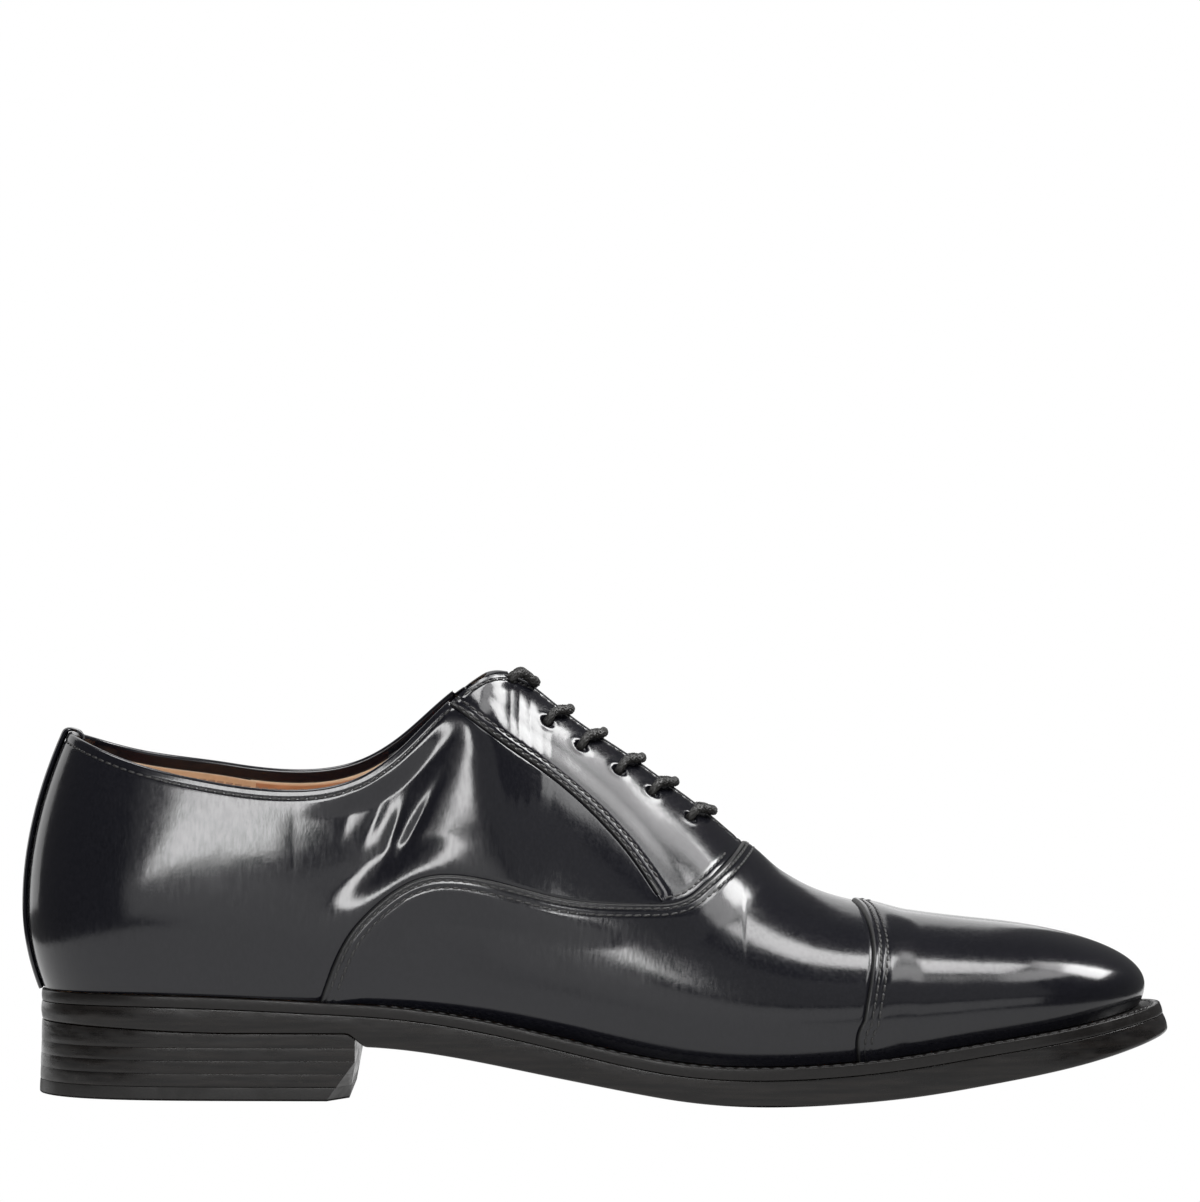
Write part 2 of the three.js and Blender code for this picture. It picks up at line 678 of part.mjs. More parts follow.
// A plate that follows the sole's curve: top and bottom give a level at a station.
function plate(stations, edge, top, bottom, bottomEdge = edge) {
  const place = (station, side, distance, level) => {
    const point = edgePoint(station, side, distance(station));
    point.z = level(stationOf(point.x));
    return point;
  };
  const columns = stations.map((s) => {
    const row = bothSides.map((side) => ({
      outer: place(s, side, edge, top),
      inner: place(s, side, bottomEdge, bottom),
    }));
    const centre = (key) => row[0][key].clone().add(row[1][key]).multiplyScalar(0.5);
    return [row[0], { outer: centre("outer"), inner: centre("inner") }, row[1]];
  });
  return new Sheet().grid(columns);
}

function outsole() {
  const top = (s) => Math.max(soleTop(s) - WELT - GAP, soleBottom(s) + 1);
  const topEdge = (s) => reach(s) + 0.4 * toeFlare(s);
  const bottomEdge = (s) => reach(s) + toeFlare(s);
  return plate(SOLE_STATIONS, topEdge, top, soleBottom, bottomEdge).geometry();
}

const featherEdge = (s) => -tuck(s);
const WELT_WIDTH = 8; // inward from the feather edge

function welt() {
  const sheet = new Sheet();
  const inside = (s) => featherEdge(s) - WELT_WIDTH;
  const low = (s) => soleTop(s) - WELT;
  for (const side of bothSides) {
    const columns = SOLE_STATIONS.map((s) => weltColumn(s, side, inside, low));
    sheet.grid(columns, side === MEDIAL);
  }
  const tips = bothSides.map((side) => weltColumn(LAST_STATION, side, inside, low));
  return sheet.grid(tips).geometry();
}

function weltColumn(station, side, inside, low) {
  const corner = (distance, lowDistance) => {
    const high = edgePoint(station, side, distance);
    high.z = soleTop(stationOf(high.x));
    const foot = edgePoint(station, side, lowDistance);
    foot.z = low(stationOf(foot.x));
    return { outer: high, inner: foot };
  };
  const edge = reach(station);
  return [corner(edge, edge + 0.35 * toeFlare(station)), corner(inside(station), inside(station))];
}

function corkFiller() {
  const edge = (s) => featherEdge(s) - WELT_WIDTH - GAP;
  const filler = plate(SOLE_STATIONS, edge, (s) => soleTop(s) - GAP, (s) => soleTop(s) - WELT);
  return cut(filler.geometry(), [shankBar(GAP, GAP, 4)]);
}

// The shank, or the groove for it when it is grown sideways, below and upward.
function shankBar(side = 0, below = 0, above = 0) {
  const stations = [];
  for (let i = 0; i <= 8; i++) {
    stations.push(mix(SHANK.from - stationOf(side), SHANK.to + stationOf(side), i / 8));
  }
  const level = (s) => soleTop(s) - GAP - SHANK.thick;
  const columns = stations.map((s) => [-1, 1].map((way) => {
    const y = way * (SHANK.width / 2 + side);
    return {
      outer: new THREE.Vector3(mm(s), y, level(s) + SHANK.thick + above),
      inner: new THREE.Vector3(mm(s), y, level(s) - below),
    };
  }));
  return new Sheet().grid(columns).geometry();
}

const UPPER_THICK = LEATHER + LINING + Math.max(COUNTER, PUFF) + 2 * LAYER_GAP;
const insoleEdge = (s) => featherEdge(s) - UPPER_THICK - 0.5;

function insole() {
  const base = (s) => soleTop(s) + GAP;
  return plate(SOLE_STATIONS, insoleEdge, (s) => base(s) + INSOLE, base).geometry();
}

function sock() {
  const base = (s) => soleTop(s) + GAP + INSOLE + GAP;
  return plate(SOLE_STATIONS, (s) => insoleEdge(s) - GAP, (s) => base(s) + SOCK, base).geometry();
}

// ---------------------------------------------------------------- heel
const BREAST = 29.8; // station of the heel's front face
const BREAST_SLANT = 2.6; // the front face comes back this much at the ground
const HEEL_FLARE = 0.6;
const NOTCH = { length: 7.2, height: 9.9, depth: 9 };

const heelTopLevel = (s) => soleBottom(s) - GAP;

function heelSlab(lowShare, highShare, lowLevel, highLevel) {
  const stations = [...HEEL_STATIONS, 27, 29.35];
  const edge = (share) => (s) => reach(s) + HEEL_FLARE * (1 - share);
  const slab = plate(stations, edge(highShare), highLevel, lowLevel, edge(lowShare));
  return slab.geometry();
}

// The front face's slope and the corner cut out of its outer side.
function breastCutters() {
  const x = mm(BREAST);
  const wide = 60;
  const side = new THREE.Shape([
    new THREE.Vector2(x - 0.6, 40),
    new THREE.Vector2(x - 0.6, NOTCH.height),
    new THREE.Vector2(x - BREAST_SLANT, -1),
    new THREE.Vector2(x + 20, -1),
    new THREE.Vector2(x + 20, 40),
  ]);
  const front = new THREE.ExtrudeGeometry(side, { depth: 2 * wide, bevelEnabled: false });
  front.rotateX(Math.PI / 2).translate(0, wide, 0);
  return [front, notchWedge()];
}

function notchWedge() {
  const x = mm(BREAST) - 0.6;
  const outer = -(OUTER_HEEL - 1.5);
  const a = new THREE.Vector3(x - NOTCH.length, outer, 0);
  const b = new THREE.Vector3(x, outer, NOTCH.height);
  const c = new THREE.Vector3(x - BREAST_SLANT + 0.2, outer + NOTCH.depth, 0);
  const normal = b.clone().sub(a).cross(c.clone().sub(a)).normalize();
  if (normal.x < 0) {
    normal.negate();
  }
  const box = new THREE.BoxGeometry(40, 40, 40).translate(0, 0, 20);
  box.applyQuaternion(new THREE.Quaternion().setFromUnitVectors(new THREE.Vector3(0, 0, 1), normal));
  return box.translate(a.x, a.y, a.z);
}

function heel() {
  const cutters = breastCutters();
  const layer = (heelTopLevel(25) - TOP_PIECE) / LIFT_COUNT;
  for (let i = 0; i < LIFT_COUNT; i++) {
    const low = TOP_PIECE + i * layer + GAP;
    const high = TOP_PIECE + (i + 1) * layer;
    const highLevel = i === LIFT_COUNT - 1 ? (s) => heelTopLevel(s) : () => high;
    const share = (z) => z / heelTopLevel(25);
    const slab = heelSlab(share(low), share(high), () => low, highLevel);
    add(`heel_lift_${i + 1}`, cut(slab, [...cutters, ...nailHoles()]), soleLeather);
  }
  const top = heelSlab(0, TOP_PIECE / heelTopLevel(25), () => 0, () => TOP_PIECE);
  add("heel_top_piece", cut(top, [...cutters, ...nailHoles()]), rubber);
}

function nailPlaces() {
  const places = [];
  for (let i = 0; i < NAIL.count; i++) {
    const angle = ((i + 0.5) / NAIL.count) * 2 * Math.PI;
    places.push([mm(14) + 25 * Math.cos(angle), 20 * Math.sin(angle)]);
  }
  return places;
}

const NAIL_RECESS = 0.5; // nail heads sit above the ground
const NAIL_TOP = 9.5;

function pin(radius, from, to, [x, y], sides = 10) {
  return new THREE.CylinderGeometry(radius, radius, to - from, sides)
    .rotateX(Math.PI / 2)
    .translate(x, y, (from + to) / 2);
}

function nailHoles() {
  return nailPlaces().map((place) => pin(NAIL.diameter / 2 + GAP, -1, NAIL_TOP + GAP, place));
}

function nails() {
  nailPlaces().forEach((place, i) => {
    add(`heel_nail_${i + 1}`, pin(NAIL.diameter / 2, NAIL_RECESS, NAIL_TOP, place), steel);
  });
}

// ---------------------------------------------------------------- eyelets and lace
const eyeletStations = [59.2, 55.8, 52.85, 49.45, 46.45, 43.3]; // from the throat to the top
const BAR_LIFT = LACE / 2 + 0.6;

// The height share at which a rib is at a distance from the ridge.
function heightAtSide(station, side, distance) {
  let low = 0;
  let high = 1;
  for (let i = 0; i < 30; i++) {
    const middle = (low + high) / 2;
    const away = Math.abs(upperPoint(station, side, middle).y - middleLine(station));
    low = away > distance ? middle : low;
    high = away > distance ? high : middle;
  }
  return (low + high) / 2;
}

const eyeletHeight = (station, side) => heightAtSide(station, side, EYELET_INSET);

function eyeletFrame(station, side) {
  const height = eyeletHeight(station, side);
  const normal = upperNormal(station, side, height);
  return { centre: upperPoint(station, side, height), normal, height };
}

function eyeletTool(station, side) {
  const { centre, normal } = eyeletFrame(station, side);
  const turn = new THREE.Quaternion().setFromUnitVectors(new THREE.Vector3(0, 1, 0), normal);
  const middle = centre.clone().addScaledVector(normal, -2);
  return new THREE.CylinderGeometry(EYELET_HOLE / 2, EYELET_HOLE / 2, 8, 8)
    .applyQuaternion(turn)
    .translate(middle.x, middle.y, middle.z);
}

function eyelets(side) {
  eyeletStations.forEach((station, i) => {
    const { centre, normal } = eyeletFrame(station, side);
    const profile = [[EYELET_HOLE / 2, 0], [RING_RADIUS, 0], [RING_RADIUS, EYELET_THICK],
      [EYELET_HOLE / 2, EYELET_THICK], [EYELET_HOLE / 2, 0]];
    const ring = new THREE.LatheGeometry(profile.map(([r, y]) => new THREE.Vector2(r, y)), 8);
    const mesh = add(`eyelet_${sideName(side)}_${i + 1}`, ring, steel);
    mesh.quaternion.setFromUnitVectors(new THREE.Vector3(0, 1, 0), normal);
    mesh.position.copy(centre).addScaledVector(normal, -RING_DEPTH - EYELET_THICK);
  });
}

const BAR_FORWARD = 2; // stations from an eyelet forward to its bar's middle

function lacePoint(station, side, away, depth) {
  return under(station, side, heightAtSide(station, side, away), depth);
}

function overRidge(station, lift) {
  const [a, b] = bothSides.map((side) => topPoint(Math.max(station, FACING_START), side));
  const point = a.add(b).multiplyScalar(0.5);
  const back = Math.max(0, FACING_START - station);
  return point.add(new THREE.Vector3(-mm(back), 0, lift));
}

// Down or up through an eyelet, from above the leather to below the ring, turning off at each end.
function through(station, side, turn) {
  const { centre, normal } = eyeletFrame(station, side);
  const at = (depth) => centre.clone().addScaledVector(normal, -depth);
  const low = lacePoint(station, side, EYELET_INSET + turn * 2.2, ROUTE_DEPTH);
  const high = lacePoint(station + 0.25, side, EYELET_INSET - 2, -BAR_LIFT);
  return [high, at(-0.6), at(RING_DEPTH * 0.5), at(RING_DEPTH + EYELET_THICK), low];
}

function bar(station) {
  const part = (side) => [
    lacePoint(station + 0.4 * BAR_FORWARD, side, EYELET_INSET * 0.58, -BAR_LIFT),
    lacePoint(station + 0.85 * BAR_FORWARD, side, EYELET_INSET * 0.27, -BAR_LIFT),
  ];
  return [...part(LATERAL), overRidge(station + BAR_FORWARD, BAR_LIFT + 0.1), ...part(MEDIAL).reverse()];
}

function crossing(from, to) {
  return [
    lacePoint(mix(from, to, 0.2), MEDIAL, EYELET_INSET * 0.5, ROUTE_DEPTH),
    overRidge(mix(from, to, 0.5), -ROUTE_DEPTH - CROSSING_DROP),
    lacePoint(mix(from, to, 0.8), LATERAL, EYELET_INSET * 0.5, ROUTE_DEPTH),
  ];
}

// The end that runs straight up inside the outer facing, from its aglet down to the lowest eyelet.
function sideRun() {
  const stations = [36.2, 38, 40, 43, 46.5, 50, 53.5, 57];
  return stations.map((s) => {
    const away = EYELET_INSET + 9.5 + 7 * (1 - smooth(37, 46, s));
    return lacePoint(s, LATERAL, away, ROUTE_DEPTH + 0.2);
  });
}

function tail() {
  const stations = [42, 40, 38, 36.2];
  return stations.map((s) => {
    const away = EYELET_INSET + 2 + 14.5 * (1 - smooth(37, 44, s));
    return lacePoint(s, MEDIAL, away, ROUTE_DEPTH + 0.2);
  });
}

function laceRoute() {
  const points = [...sideRun()];
  eyeletStations.forEach((station, i) => {
    const next = eyeletStations[i + 1];
    points.push(...through(station, LATERAL, i === 0 ? 1 : -1).reverse());
    points.push(...bar(station));
    points.push(...through(station, MEDIAL, next ? -1 : 1));
    points.push(...(next ? crossing(station, next) : tail()));
  });
  return points;
}

// A round tube with a ring of corners at each point of its route, closed at both ends.
function tube(points, radius, sides = 8) {
  const curve = new THREE.CatmullRomCurve3(points);
  curve.getPointAt = curve.getPoint;
  curve.getTangentAt = curve.getTangent;
  const section = new THREE.Shape();
  for (let i = 0; i < sides; i++) {
    const angle = (2 * Math.PI * i) / sides;
    section[i ? "lineTo" : "moveTo"](radius * Math.cos(angle), radius * Math.sin(angle));
  }
  const options = { extrudePath: curve, steps: points.length - 1, bevelEnabled: false };
  return new THREE.ExtrudeGeometry(section, options);
}

function lace() {
  const route = laceRoute();
  add("shoelace", tube(route, LACE / 2), cord);
  const ends = [[route[1], route[0]], [route[route.length - 2], route[route.length - 1]]];
  ends.forEach(([before, end], i) => {
    const away = end.clone().sub(before).normalize();
    const from = end.clone().addScaledVector(away, GAP);
    const to = end.clone().addScaledVector(away, GAP + AGLET.length);
    add(`aglet_${sideName(bothSides[i])}`, tube([from, to], LACE / 2 + AGLET.wall), cord);
  });
}

// ---------------------------------------------------------------- assembly
heel();
nails();
add("outsole", outsole(), soleLeather);
add("welt", welt(), soleLeather);
add("cork_filler", corkFiller(), cork);
add("shank", shankBar(), steel);
add("insole", insole(), board);
add("sock_lining", sock(), liningLeather);
for (const side of bothSides) {
  const holes = eyeletStations.map((station) => eyeletTool(station, side));
  add(`quarter_${sideName(side)}`, quarter(side), upperLeather);
  add(`facing_${sideName(side)}`, cut(facing(side), holes), upperLeather);
  add(`quarter_lining_${sideName(side)}`, cut(quarterLining(side), holes), liningLeather);
  eyelets(side);
}
add("vamp", vamp(), upperLeather);
add("toe_cap", toeCap(), upperLeather);
add("back_strip", backStrip(), upperLeather);
add("heel_counter", counter(), board);
add("toe_puff", puff(), board);
add("heel_lining", heelLining(), suede);
add("vamp_lining", vampLining(), liningLeather);
add("tongue", tongueLayer(0, TONGUE_THICK), upperLeather);
add("tongue_lining", tongueLayer(TONGUE_THICK + GAP, LINING), liningLeather);
lace();

// The middle of the footprint is the origin.
const box = new THREE.Box3().setFromObject(shoe);
const middle = box.getCenter(new THREE.Vector3());
for (const mesh of shoe.children) {
  mesh.position.x -= middle.x;
  mesh.position.y -= middle.y;
  mesh.position.z -= box.min.z;
}

export default shoe;
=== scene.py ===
"""A black leather oxford shoe: fine surfaces, stitching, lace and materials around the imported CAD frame.

Shapes are worked out in millimetres from the shoe's own stations, a percentage of its length from the back of the
heel, as in the CAD model. They go into the frame's metres when a mesh is made.
"""

import math

import bmesh
import bpy
import numpy as np
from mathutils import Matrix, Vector


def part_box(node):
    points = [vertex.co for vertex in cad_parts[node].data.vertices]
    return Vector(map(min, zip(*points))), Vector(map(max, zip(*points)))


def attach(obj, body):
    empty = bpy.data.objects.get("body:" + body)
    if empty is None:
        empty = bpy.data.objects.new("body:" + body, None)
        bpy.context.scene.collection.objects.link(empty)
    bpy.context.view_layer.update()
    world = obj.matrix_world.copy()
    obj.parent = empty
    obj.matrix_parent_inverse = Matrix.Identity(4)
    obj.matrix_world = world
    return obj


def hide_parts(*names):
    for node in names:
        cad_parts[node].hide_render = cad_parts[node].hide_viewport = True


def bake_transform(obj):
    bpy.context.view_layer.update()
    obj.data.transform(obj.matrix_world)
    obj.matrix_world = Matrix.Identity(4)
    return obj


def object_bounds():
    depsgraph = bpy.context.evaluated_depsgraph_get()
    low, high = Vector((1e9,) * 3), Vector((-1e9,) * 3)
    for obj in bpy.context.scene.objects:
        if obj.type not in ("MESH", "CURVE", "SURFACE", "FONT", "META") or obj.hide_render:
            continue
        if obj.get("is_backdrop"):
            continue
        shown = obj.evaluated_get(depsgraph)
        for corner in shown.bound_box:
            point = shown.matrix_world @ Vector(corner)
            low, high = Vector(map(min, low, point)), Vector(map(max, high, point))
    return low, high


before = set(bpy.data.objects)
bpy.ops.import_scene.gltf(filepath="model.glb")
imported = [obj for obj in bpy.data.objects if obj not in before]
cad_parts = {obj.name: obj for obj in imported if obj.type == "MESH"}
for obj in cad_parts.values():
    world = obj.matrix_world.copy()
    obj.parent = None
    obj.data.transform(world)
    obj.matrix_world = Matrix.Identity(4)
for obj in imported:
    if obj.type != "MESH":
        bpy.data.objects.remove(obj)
CAD_LOW, CAD_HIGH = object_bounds()

# ---------------------------------------------------------------- dimensions of the CAD model, in millimetres
SHOE_LENGTH = 298
OUTER_BALL = 48.5
INNER_BALL = 46.5
OUTER_HEEL = 34.5
INNER_HEEL = 33.5
HEEL_RISE = 14.3
WAIST_LIP = 3.3
SEAT_CURL = 1.8
TOE_SPRING = 15.9
TOP_PIECE = 3.7
LIFT_COUNT = 4
WELT = 3.0
LEATHER = 1.3
LINING = 0.9
COUNTER = 1.0
PUFF = 0.7
INSOLE = 3.0
SOCK = 1.0
STRIP_HALF_WIDTH = 3.2
STRIP_THICK = 0.9
FACING_GAP = 3.0
TONGUE_DROP = 10
TONGUE_HALF_BASE = 14
TONGUE_HALF_TOP = 20
TONGUE_THICK = 1.4
LACE = 2.3
EYELET_INSET = 10.5
EYELET_THICK = 0.5
GAP = 0.3
LAYER_GAP = 0.5
STIFF_DEPTH = LEATHER + LAYER_GAP

LATERAL = -1
MEDIAL = 1
BOTH_SIDES = (LATERAL, MEDIAL)
SIDE_NAMES = {LATERAL: "lateral", MEDIAL: "medial"}
THROAT = 63.9
FAN = 24.2
FACING_START = 45
FACING_SEAM_START = 37.9
FACING_SEAM_END = 56
FACING_END = 63.2
VAMP_START = 26.5
CAP_EDGE = 73.8
NOSE_START = 84.9
NOSE_POWER = 2.5
MEDIAL_LIFT = 3
TOP_LINE_BACK = 10.5
HEEL_LINING_END = 17

# The frame's place: the back strip starts a strip's thickness behind station 0, and the shank is on the middle line.
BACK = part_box("back_strip")[0].x + (GAP + STRIP_THICK) / 1000
MIDDLE = sum(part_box("shank")[i].y for i in (0, 1)) / 2
ORIGIN = np.array([BACK, MIDDLE, 0.0])


# ---------------------------------------------------------------- small tools
def to_frame(points):
    """Millimetres from the back of the heel to the frame's metres."""
    return np.asarray(points, float) / 1000 + ORIGIN


def mm(station):
    return station * SHOE_LENGTH / 100


def station_of(x):
    return 100 * x / SHOE_LENGTH


def smooth(start, end, value):
    t = np.clip((value - start) / (end - start), 0, 1)
    return t * t * (3 - 2 * t)


def mix(a, b, share):
    return a + (b - a) * share


def vector(x, y, z):
    return np.stack(np.broadcast_arrays(x, y, z), axis=-1).astype(float)


def unit(v):
    return v / np.maximum(np.linalg.norm(v, axis=-1, keepdims=True), 1e-12)


def times(v, share):
    """Vectors, each multiplied by its own number."""
    return v * np.asarray(share)[..., None]


def spline(points, level_start=False, level_end=False):
    """A natural cubic through points; its ends can be given a slope of nothing."""
    x, y = np.array(points, float).T
    count = len(x)
    step = np.diff(x)
    slope = np.diff(y) / step
    system = np.eye(count)
    right = np.zeros(count)
    for i in range(1, count - 1):
        system[i, i - 1 : i + 2] = step[i - 1], 2 * (step[i - 1] + step[i]), step[i]
        right[i] = 6 * (slope[i] - slope[i - 1])
    if level_start:
        system[0, :2] = 2 * step[0], step[0]
        right[0] = 6 * slope[0]
    if level_end:
        system[-1, -2:] = step[-1], 2 * step[-1]
        right[-1] = -6 * slope[-1]
    bend = np.linalg.solve(system, right)

    def at(value):
        t = np.clip(value, x[0], x[-1])
        i = np.clip(np.searchsorted(x, t, side="right") - 1, 0, count - 2)
        h = step[i]
        a = (x[i + 1] - t) / h
        b = (t - x[i]) / h
        return a * y[i] + b * y[i + 1] + ((a**3 - a) * bend[i] + (b**3 - b) * bend[i + 1]) * h * h / 6

    return at


# ---------------------------------------------------------------- profile of the sole
waist_rise = spline(
    [(25, 1), (31, 0.985), (38, 0.82), (45, 0.56), (52, 0.3), (59, 0.075), (66, 0)],
    level_start=True,
    level_end=True,
)
toe_rise = spline(
    [(66, 0), (73, 0.045), (79, 0.14), (86, 0.335), (95, 0.66), (102, 1)],
    level_start=True,
)
sole_depth = spline(
    [(0, 13.1), (9, 13.3), (17, 12.8), (24, 11.9), (31, 11), (38, 11), (45, 10.8)]
    + [(53, 9.8), (64, 9.9), (74, 10.3), (84, 10.7), (93, 9.9), (100, 8.6), (103, 7.4)]
)


def rise(station):
    return HEEL_RISE * waist_rise(station) + TOE_SPRING * toe_rise(station)


def sole_top(station):
    return rise(station) + sole_depth(station)


def sole_bottom(station):
    seat = HEEL_RISE + WAIST_LIP + SEAT_CURL * (1 - smooth(0, 19, station))
    return mix(seat, rise(station), smooth(28.7, 30.7, station))


# ---------------------------------------------------------------- shape of the upper
middle_line = spline([(0, 0), (45, 0), (70, 0.8), (85, 2.4), (100, 4.2)], level_start=True)
outer_share = spline(
    [(24.2, 0), (31, 0.01), (38, 0.12), (45, 0.34), (52, 0.62), (59, 0.88), (66, 1), (73, 0.88)]
    + [(80, 0.62), (86, 0.38), (93, 0.17), (100, 0)],
    level_start=True,
)
inner_share = spline(
    [(24.2, 0), (31, -0.08), (38, -0.06), (45, 0.12), (52, 0.42), (59, 0.74), (66, 0.95), (71, 1)]
    + [(77, 0.87), (83, 0.57), (90, 0.2), (100, -0.15)],
    level_start=True,
)
bulge_height = spline(
    [(0, 22.6), (12, 18.7), (24, 16), (31, 12.8), (38, 11), (45, 11), (52, 11.8), (60, 11.8)]
    + [(68, 11.2), (77, 10.4), (85, 8.8), (92, 7.3), (100, 5.2)]
)
tuck = spline(
    [(0, 4.3), (12, 3.6), (24, 3), (31, 3.4), (38, 4.2), (45, 4.3), (52, 3.5), (60, 2.6)]
    + [(70, 2.2), (85, 1.9), (100, 1.5)]
)
ridge_height = spline(
    [(42, 93.6), (45, 89.5), (47, 86), (50.3, 80.9), (53.7, 76.4), (57, 71), (60.4, 64.6), (63.8, 56.5)]
    + [(66.4, 50.6), (69.8, 44.2), (73.5, 39.7), (79, 34.7), (85, 29.8), (91, 25.8), (100, 19.8)]
)
top_line_height = spline(
    [(3.5, 67.6), (9, 61), (15.4, 56.5), (20.8, 54.6), (24.3, 54.6), (27.9, 56.4), (30.5, 59.8)]
    + [(33.2, 66.3), (36.9, 78.6), (39.6, 86.6), (42.3, 91), (45, 89.5)]
)
top_line_half = spline(
    [(24.2, 28), (30, 27.9), (33.2, 27), (36.9, 24.2), (39.6, 20.2), (42.3, 13.4), (44, 6.6)]
    + [(45, FACING_GAP / 2)]
)
top_lean = spline(
    [(0, 66), (12, 70), (24, 76), (30, 77), (33.2, 72), (36.9, 60), (39.6, 48), (42.3, 36), (45, 26)]
    + [(50, 21), (60, 18), (64, 13), (68, 5), (72, 0), (100, 0)]
)
low_handle = spline(
    [(0, 0.34), (24, 0.36), (37, 0.42), (45, 0.45), (60, 0.46), (70, 0.54), (85, 0.6), (100, 0.6)]
)
top_handle = spline(
    [(0, 0.34), (24, 0.34), (33, 0.31), (42, 0.22), (50, 0.2), (60, 0.24), (66, 0.33), (72, 0.41)]
    + [(80, 0.45), (100, 0.46)]
)


def nose(station):
    """One away from the toe, falling to nothing at its tip."""
    along = np.clip((station - NOSE_START) / (100 - NOSE_START), 0, 1)
    return np.sqrt(1 - along**NOSE_POWER)


def half_width(station, side):
    heel = OUTER_HEEL if side == LATERAL else INNER_HEEL
    ball = OUTER_BALL if side == LATERAL else INNER_BALL
    share = outer_share(station) if side == LATERAL else inner_share(station)
    return (heel + (ball - heel) * share) * nose(station)


def heel_radius(angle, length, width):
    """Distance from the fan's axis to a blunt oval, in the direction of a rib."""
    fourth = (np.cos(angle) / length) ** 4
    second = (np.sin(angle) / width) ** 2
    return np.sqrt(2 / (second + np.sqrt(second**2 + 4 * fourth)))


def fan_angle(station):
    return math.pi / 2 * np.clip(station / FAN, 0, 1)


def bulge_point(station, side):
    """The widest point of a rib."""
    angle = fan_angle(station)
    r = heel_radius(angle, mm(FAN), half_width(FAN, side))
    behind = station < FAN
    x = np.where(behind, mm(FAN) - r * np.cos(angle), mm(station))
    y = np.where(behind, side * r * np.sin(angle), middle_line(station) + side * half_width(station, side))
    return vector(x, y, sole_top(station) + bulge_height(station))


def outward(station, side):
    """Outward direction of the upper's widest line, in plan."""
    step = np.minimum(0.2, (100 - station) / 2)
    along = bulge_point(station + step, side) - bulge_point(np.maximum(0, station - step), side)
    turned = unit(vector(-side * along[..., 1], side * along[..., 0], 0))
    return np.where(np.asarray(station)[..., None] <= 0, np.array([-1.0, 0, 0]), turned)


def half_gap(station):
    closing = FACING_GAP / 2 * (1 - smooth(61, THROAT + 1, station))
    return np.where(station >= THROAT, 0, closing)


def top_point(station, side):
    """The top of a rib: on the topline, on a facing's edge or on the ridge of the toe."""
    bulge = sole_top(station) + bulge_height(station)
    ridge = sole_top(station) + ridge_height(station)
    front_y = middle_line(station) + side * half_gap(station) * nose(station)
    front = vector(mm(station), front_y, bulge + (ridge - bulge) * nose(station))
    angle = fan_angle(station)
    r = heel_radius(angle, mm(FAN) - TOP_LINE_BACK, top_line_half(FAN))
    behind = station < FAN
    x = np.where(behind, mm(FAN) - r * np.cos(angle), mm(station))
    y = side * np.where(behind, r * np.sin(angle), top_line_half(station))
    at = station_of(x)
    lift = MEDIAL_LIFT * smooth(3.5, 18, at) * (1 - smooth(30, 44, at)) if side == MEDIAL else 0
    back = vector(x, y, sole_top(at) + top_line_height(at) + lift)
    return np.where((np.asarray(station) >= FACING_START)[..., None], front, back)


def rib_point(station, side, height):
    """A point on the CAD model's upper: height -1 is the feather edge, 0 the widest line and 1 the top."""
    station, height = np.broadcast_arrays(np.asarray(station, float), np.asarray(height, float))
    bulge = bulge_point(station, side)
    top = top_point(station, side)
    inward = top - bulge
    inward[..., 2] = 0
    lean = np.radians(top_lean(station))
    arrive = times(unit(inward), np.cos(lean))
    arrive[..., 2] = np.sin(lean)
    low = bulge.copy()
    low[..., 2] += low_handle(station) * (top[..., 2] - bulge[..., 2])
    high = top - times(arrive, top_handle(station) * np.linalg.norm(top - bulge, axis=-1))
    t = np.clip(height, 0, 1)
    a = 1 - t
    curve = times(bulge, a**3) + times(low, 3 * a * a * t) + times(high, 3 * a * t * t) + times(top, t**3)
    foot = bulge - times(outward(station, side), tuck(station) * height**2)
    floor = sole_top(station_of(foot[..., 0])) + GAP
    foot[..., 2] = mix(bulge[..., 2], floor, -height)
    return np.where((height < 0)[..., None], foot, curve)


BLEND_REACH = 7  # stations either side of the facings' top corner that are smoothed
BLEND_WINDOW = 3.4


def upper_point(station, side, height):
    """The upper's outer face, with the ribs around the facings' top corner blended into each other."""
    station, height = np.broadcast_arrays(np.asarray(station, float), np.asarray(height, float))
    point = rib_point(station, side, height)
    near = np.abs(station - FACING_START) < BLEND_REACH
    if near.any():
        at, share = station[near], height[near]
        window = BLEND_WINDOW * (1 - ((at - FACING_START) / BLEND_REACH) ** 2) ** 2
        window = window * (1 - 0.65 * smooth(0.9, 1, share))
        steps = np.linspace(-0.9, 0.9, 7)
        weights = (1 - steps**2) ** 2
        total = sum(rib_point(at + window * t, side, share) * w for t, w in zip(steps, weights))
        point[near] = total / weights.sum()
    return point


def side_normal(station, side, height, surface=upper_point):
    ds = np.minimum(0.2, (100 - station) / 2)
    dh = 0.01
    along = surface(station + ds, side, height) - surface(np.maximum(0, station - ds), side, height)
    up = surface(station, side, np.minimum(1, height + dh)) - surface(station, side, np.maximum(-1, height - dh))
    return unit(np.cross(along, up) * -side)


def upper_normal(station, side, height):
    """Outward direction; where the two sides meet, at the back and on the toe's ridge, they share one."""
    station, height = np.broadcast_arrays(np.asarray(station, float), np.asarray(height, float))
    own = side_normal(station, side, height)
    shared = unit(own + side_normal(station, -side, height))
    meets = (station <= 0) | ((height >= 1) & (station >= THROAT))
    return np.where(meets[..., None], shared, own)


def under(station, side, height, depth):
    """A point at a depth below the outer face; a depth below zero stands proud of it."""
    return upper_point(station, side, height) - times(upper_normal(station, side, height), depth)


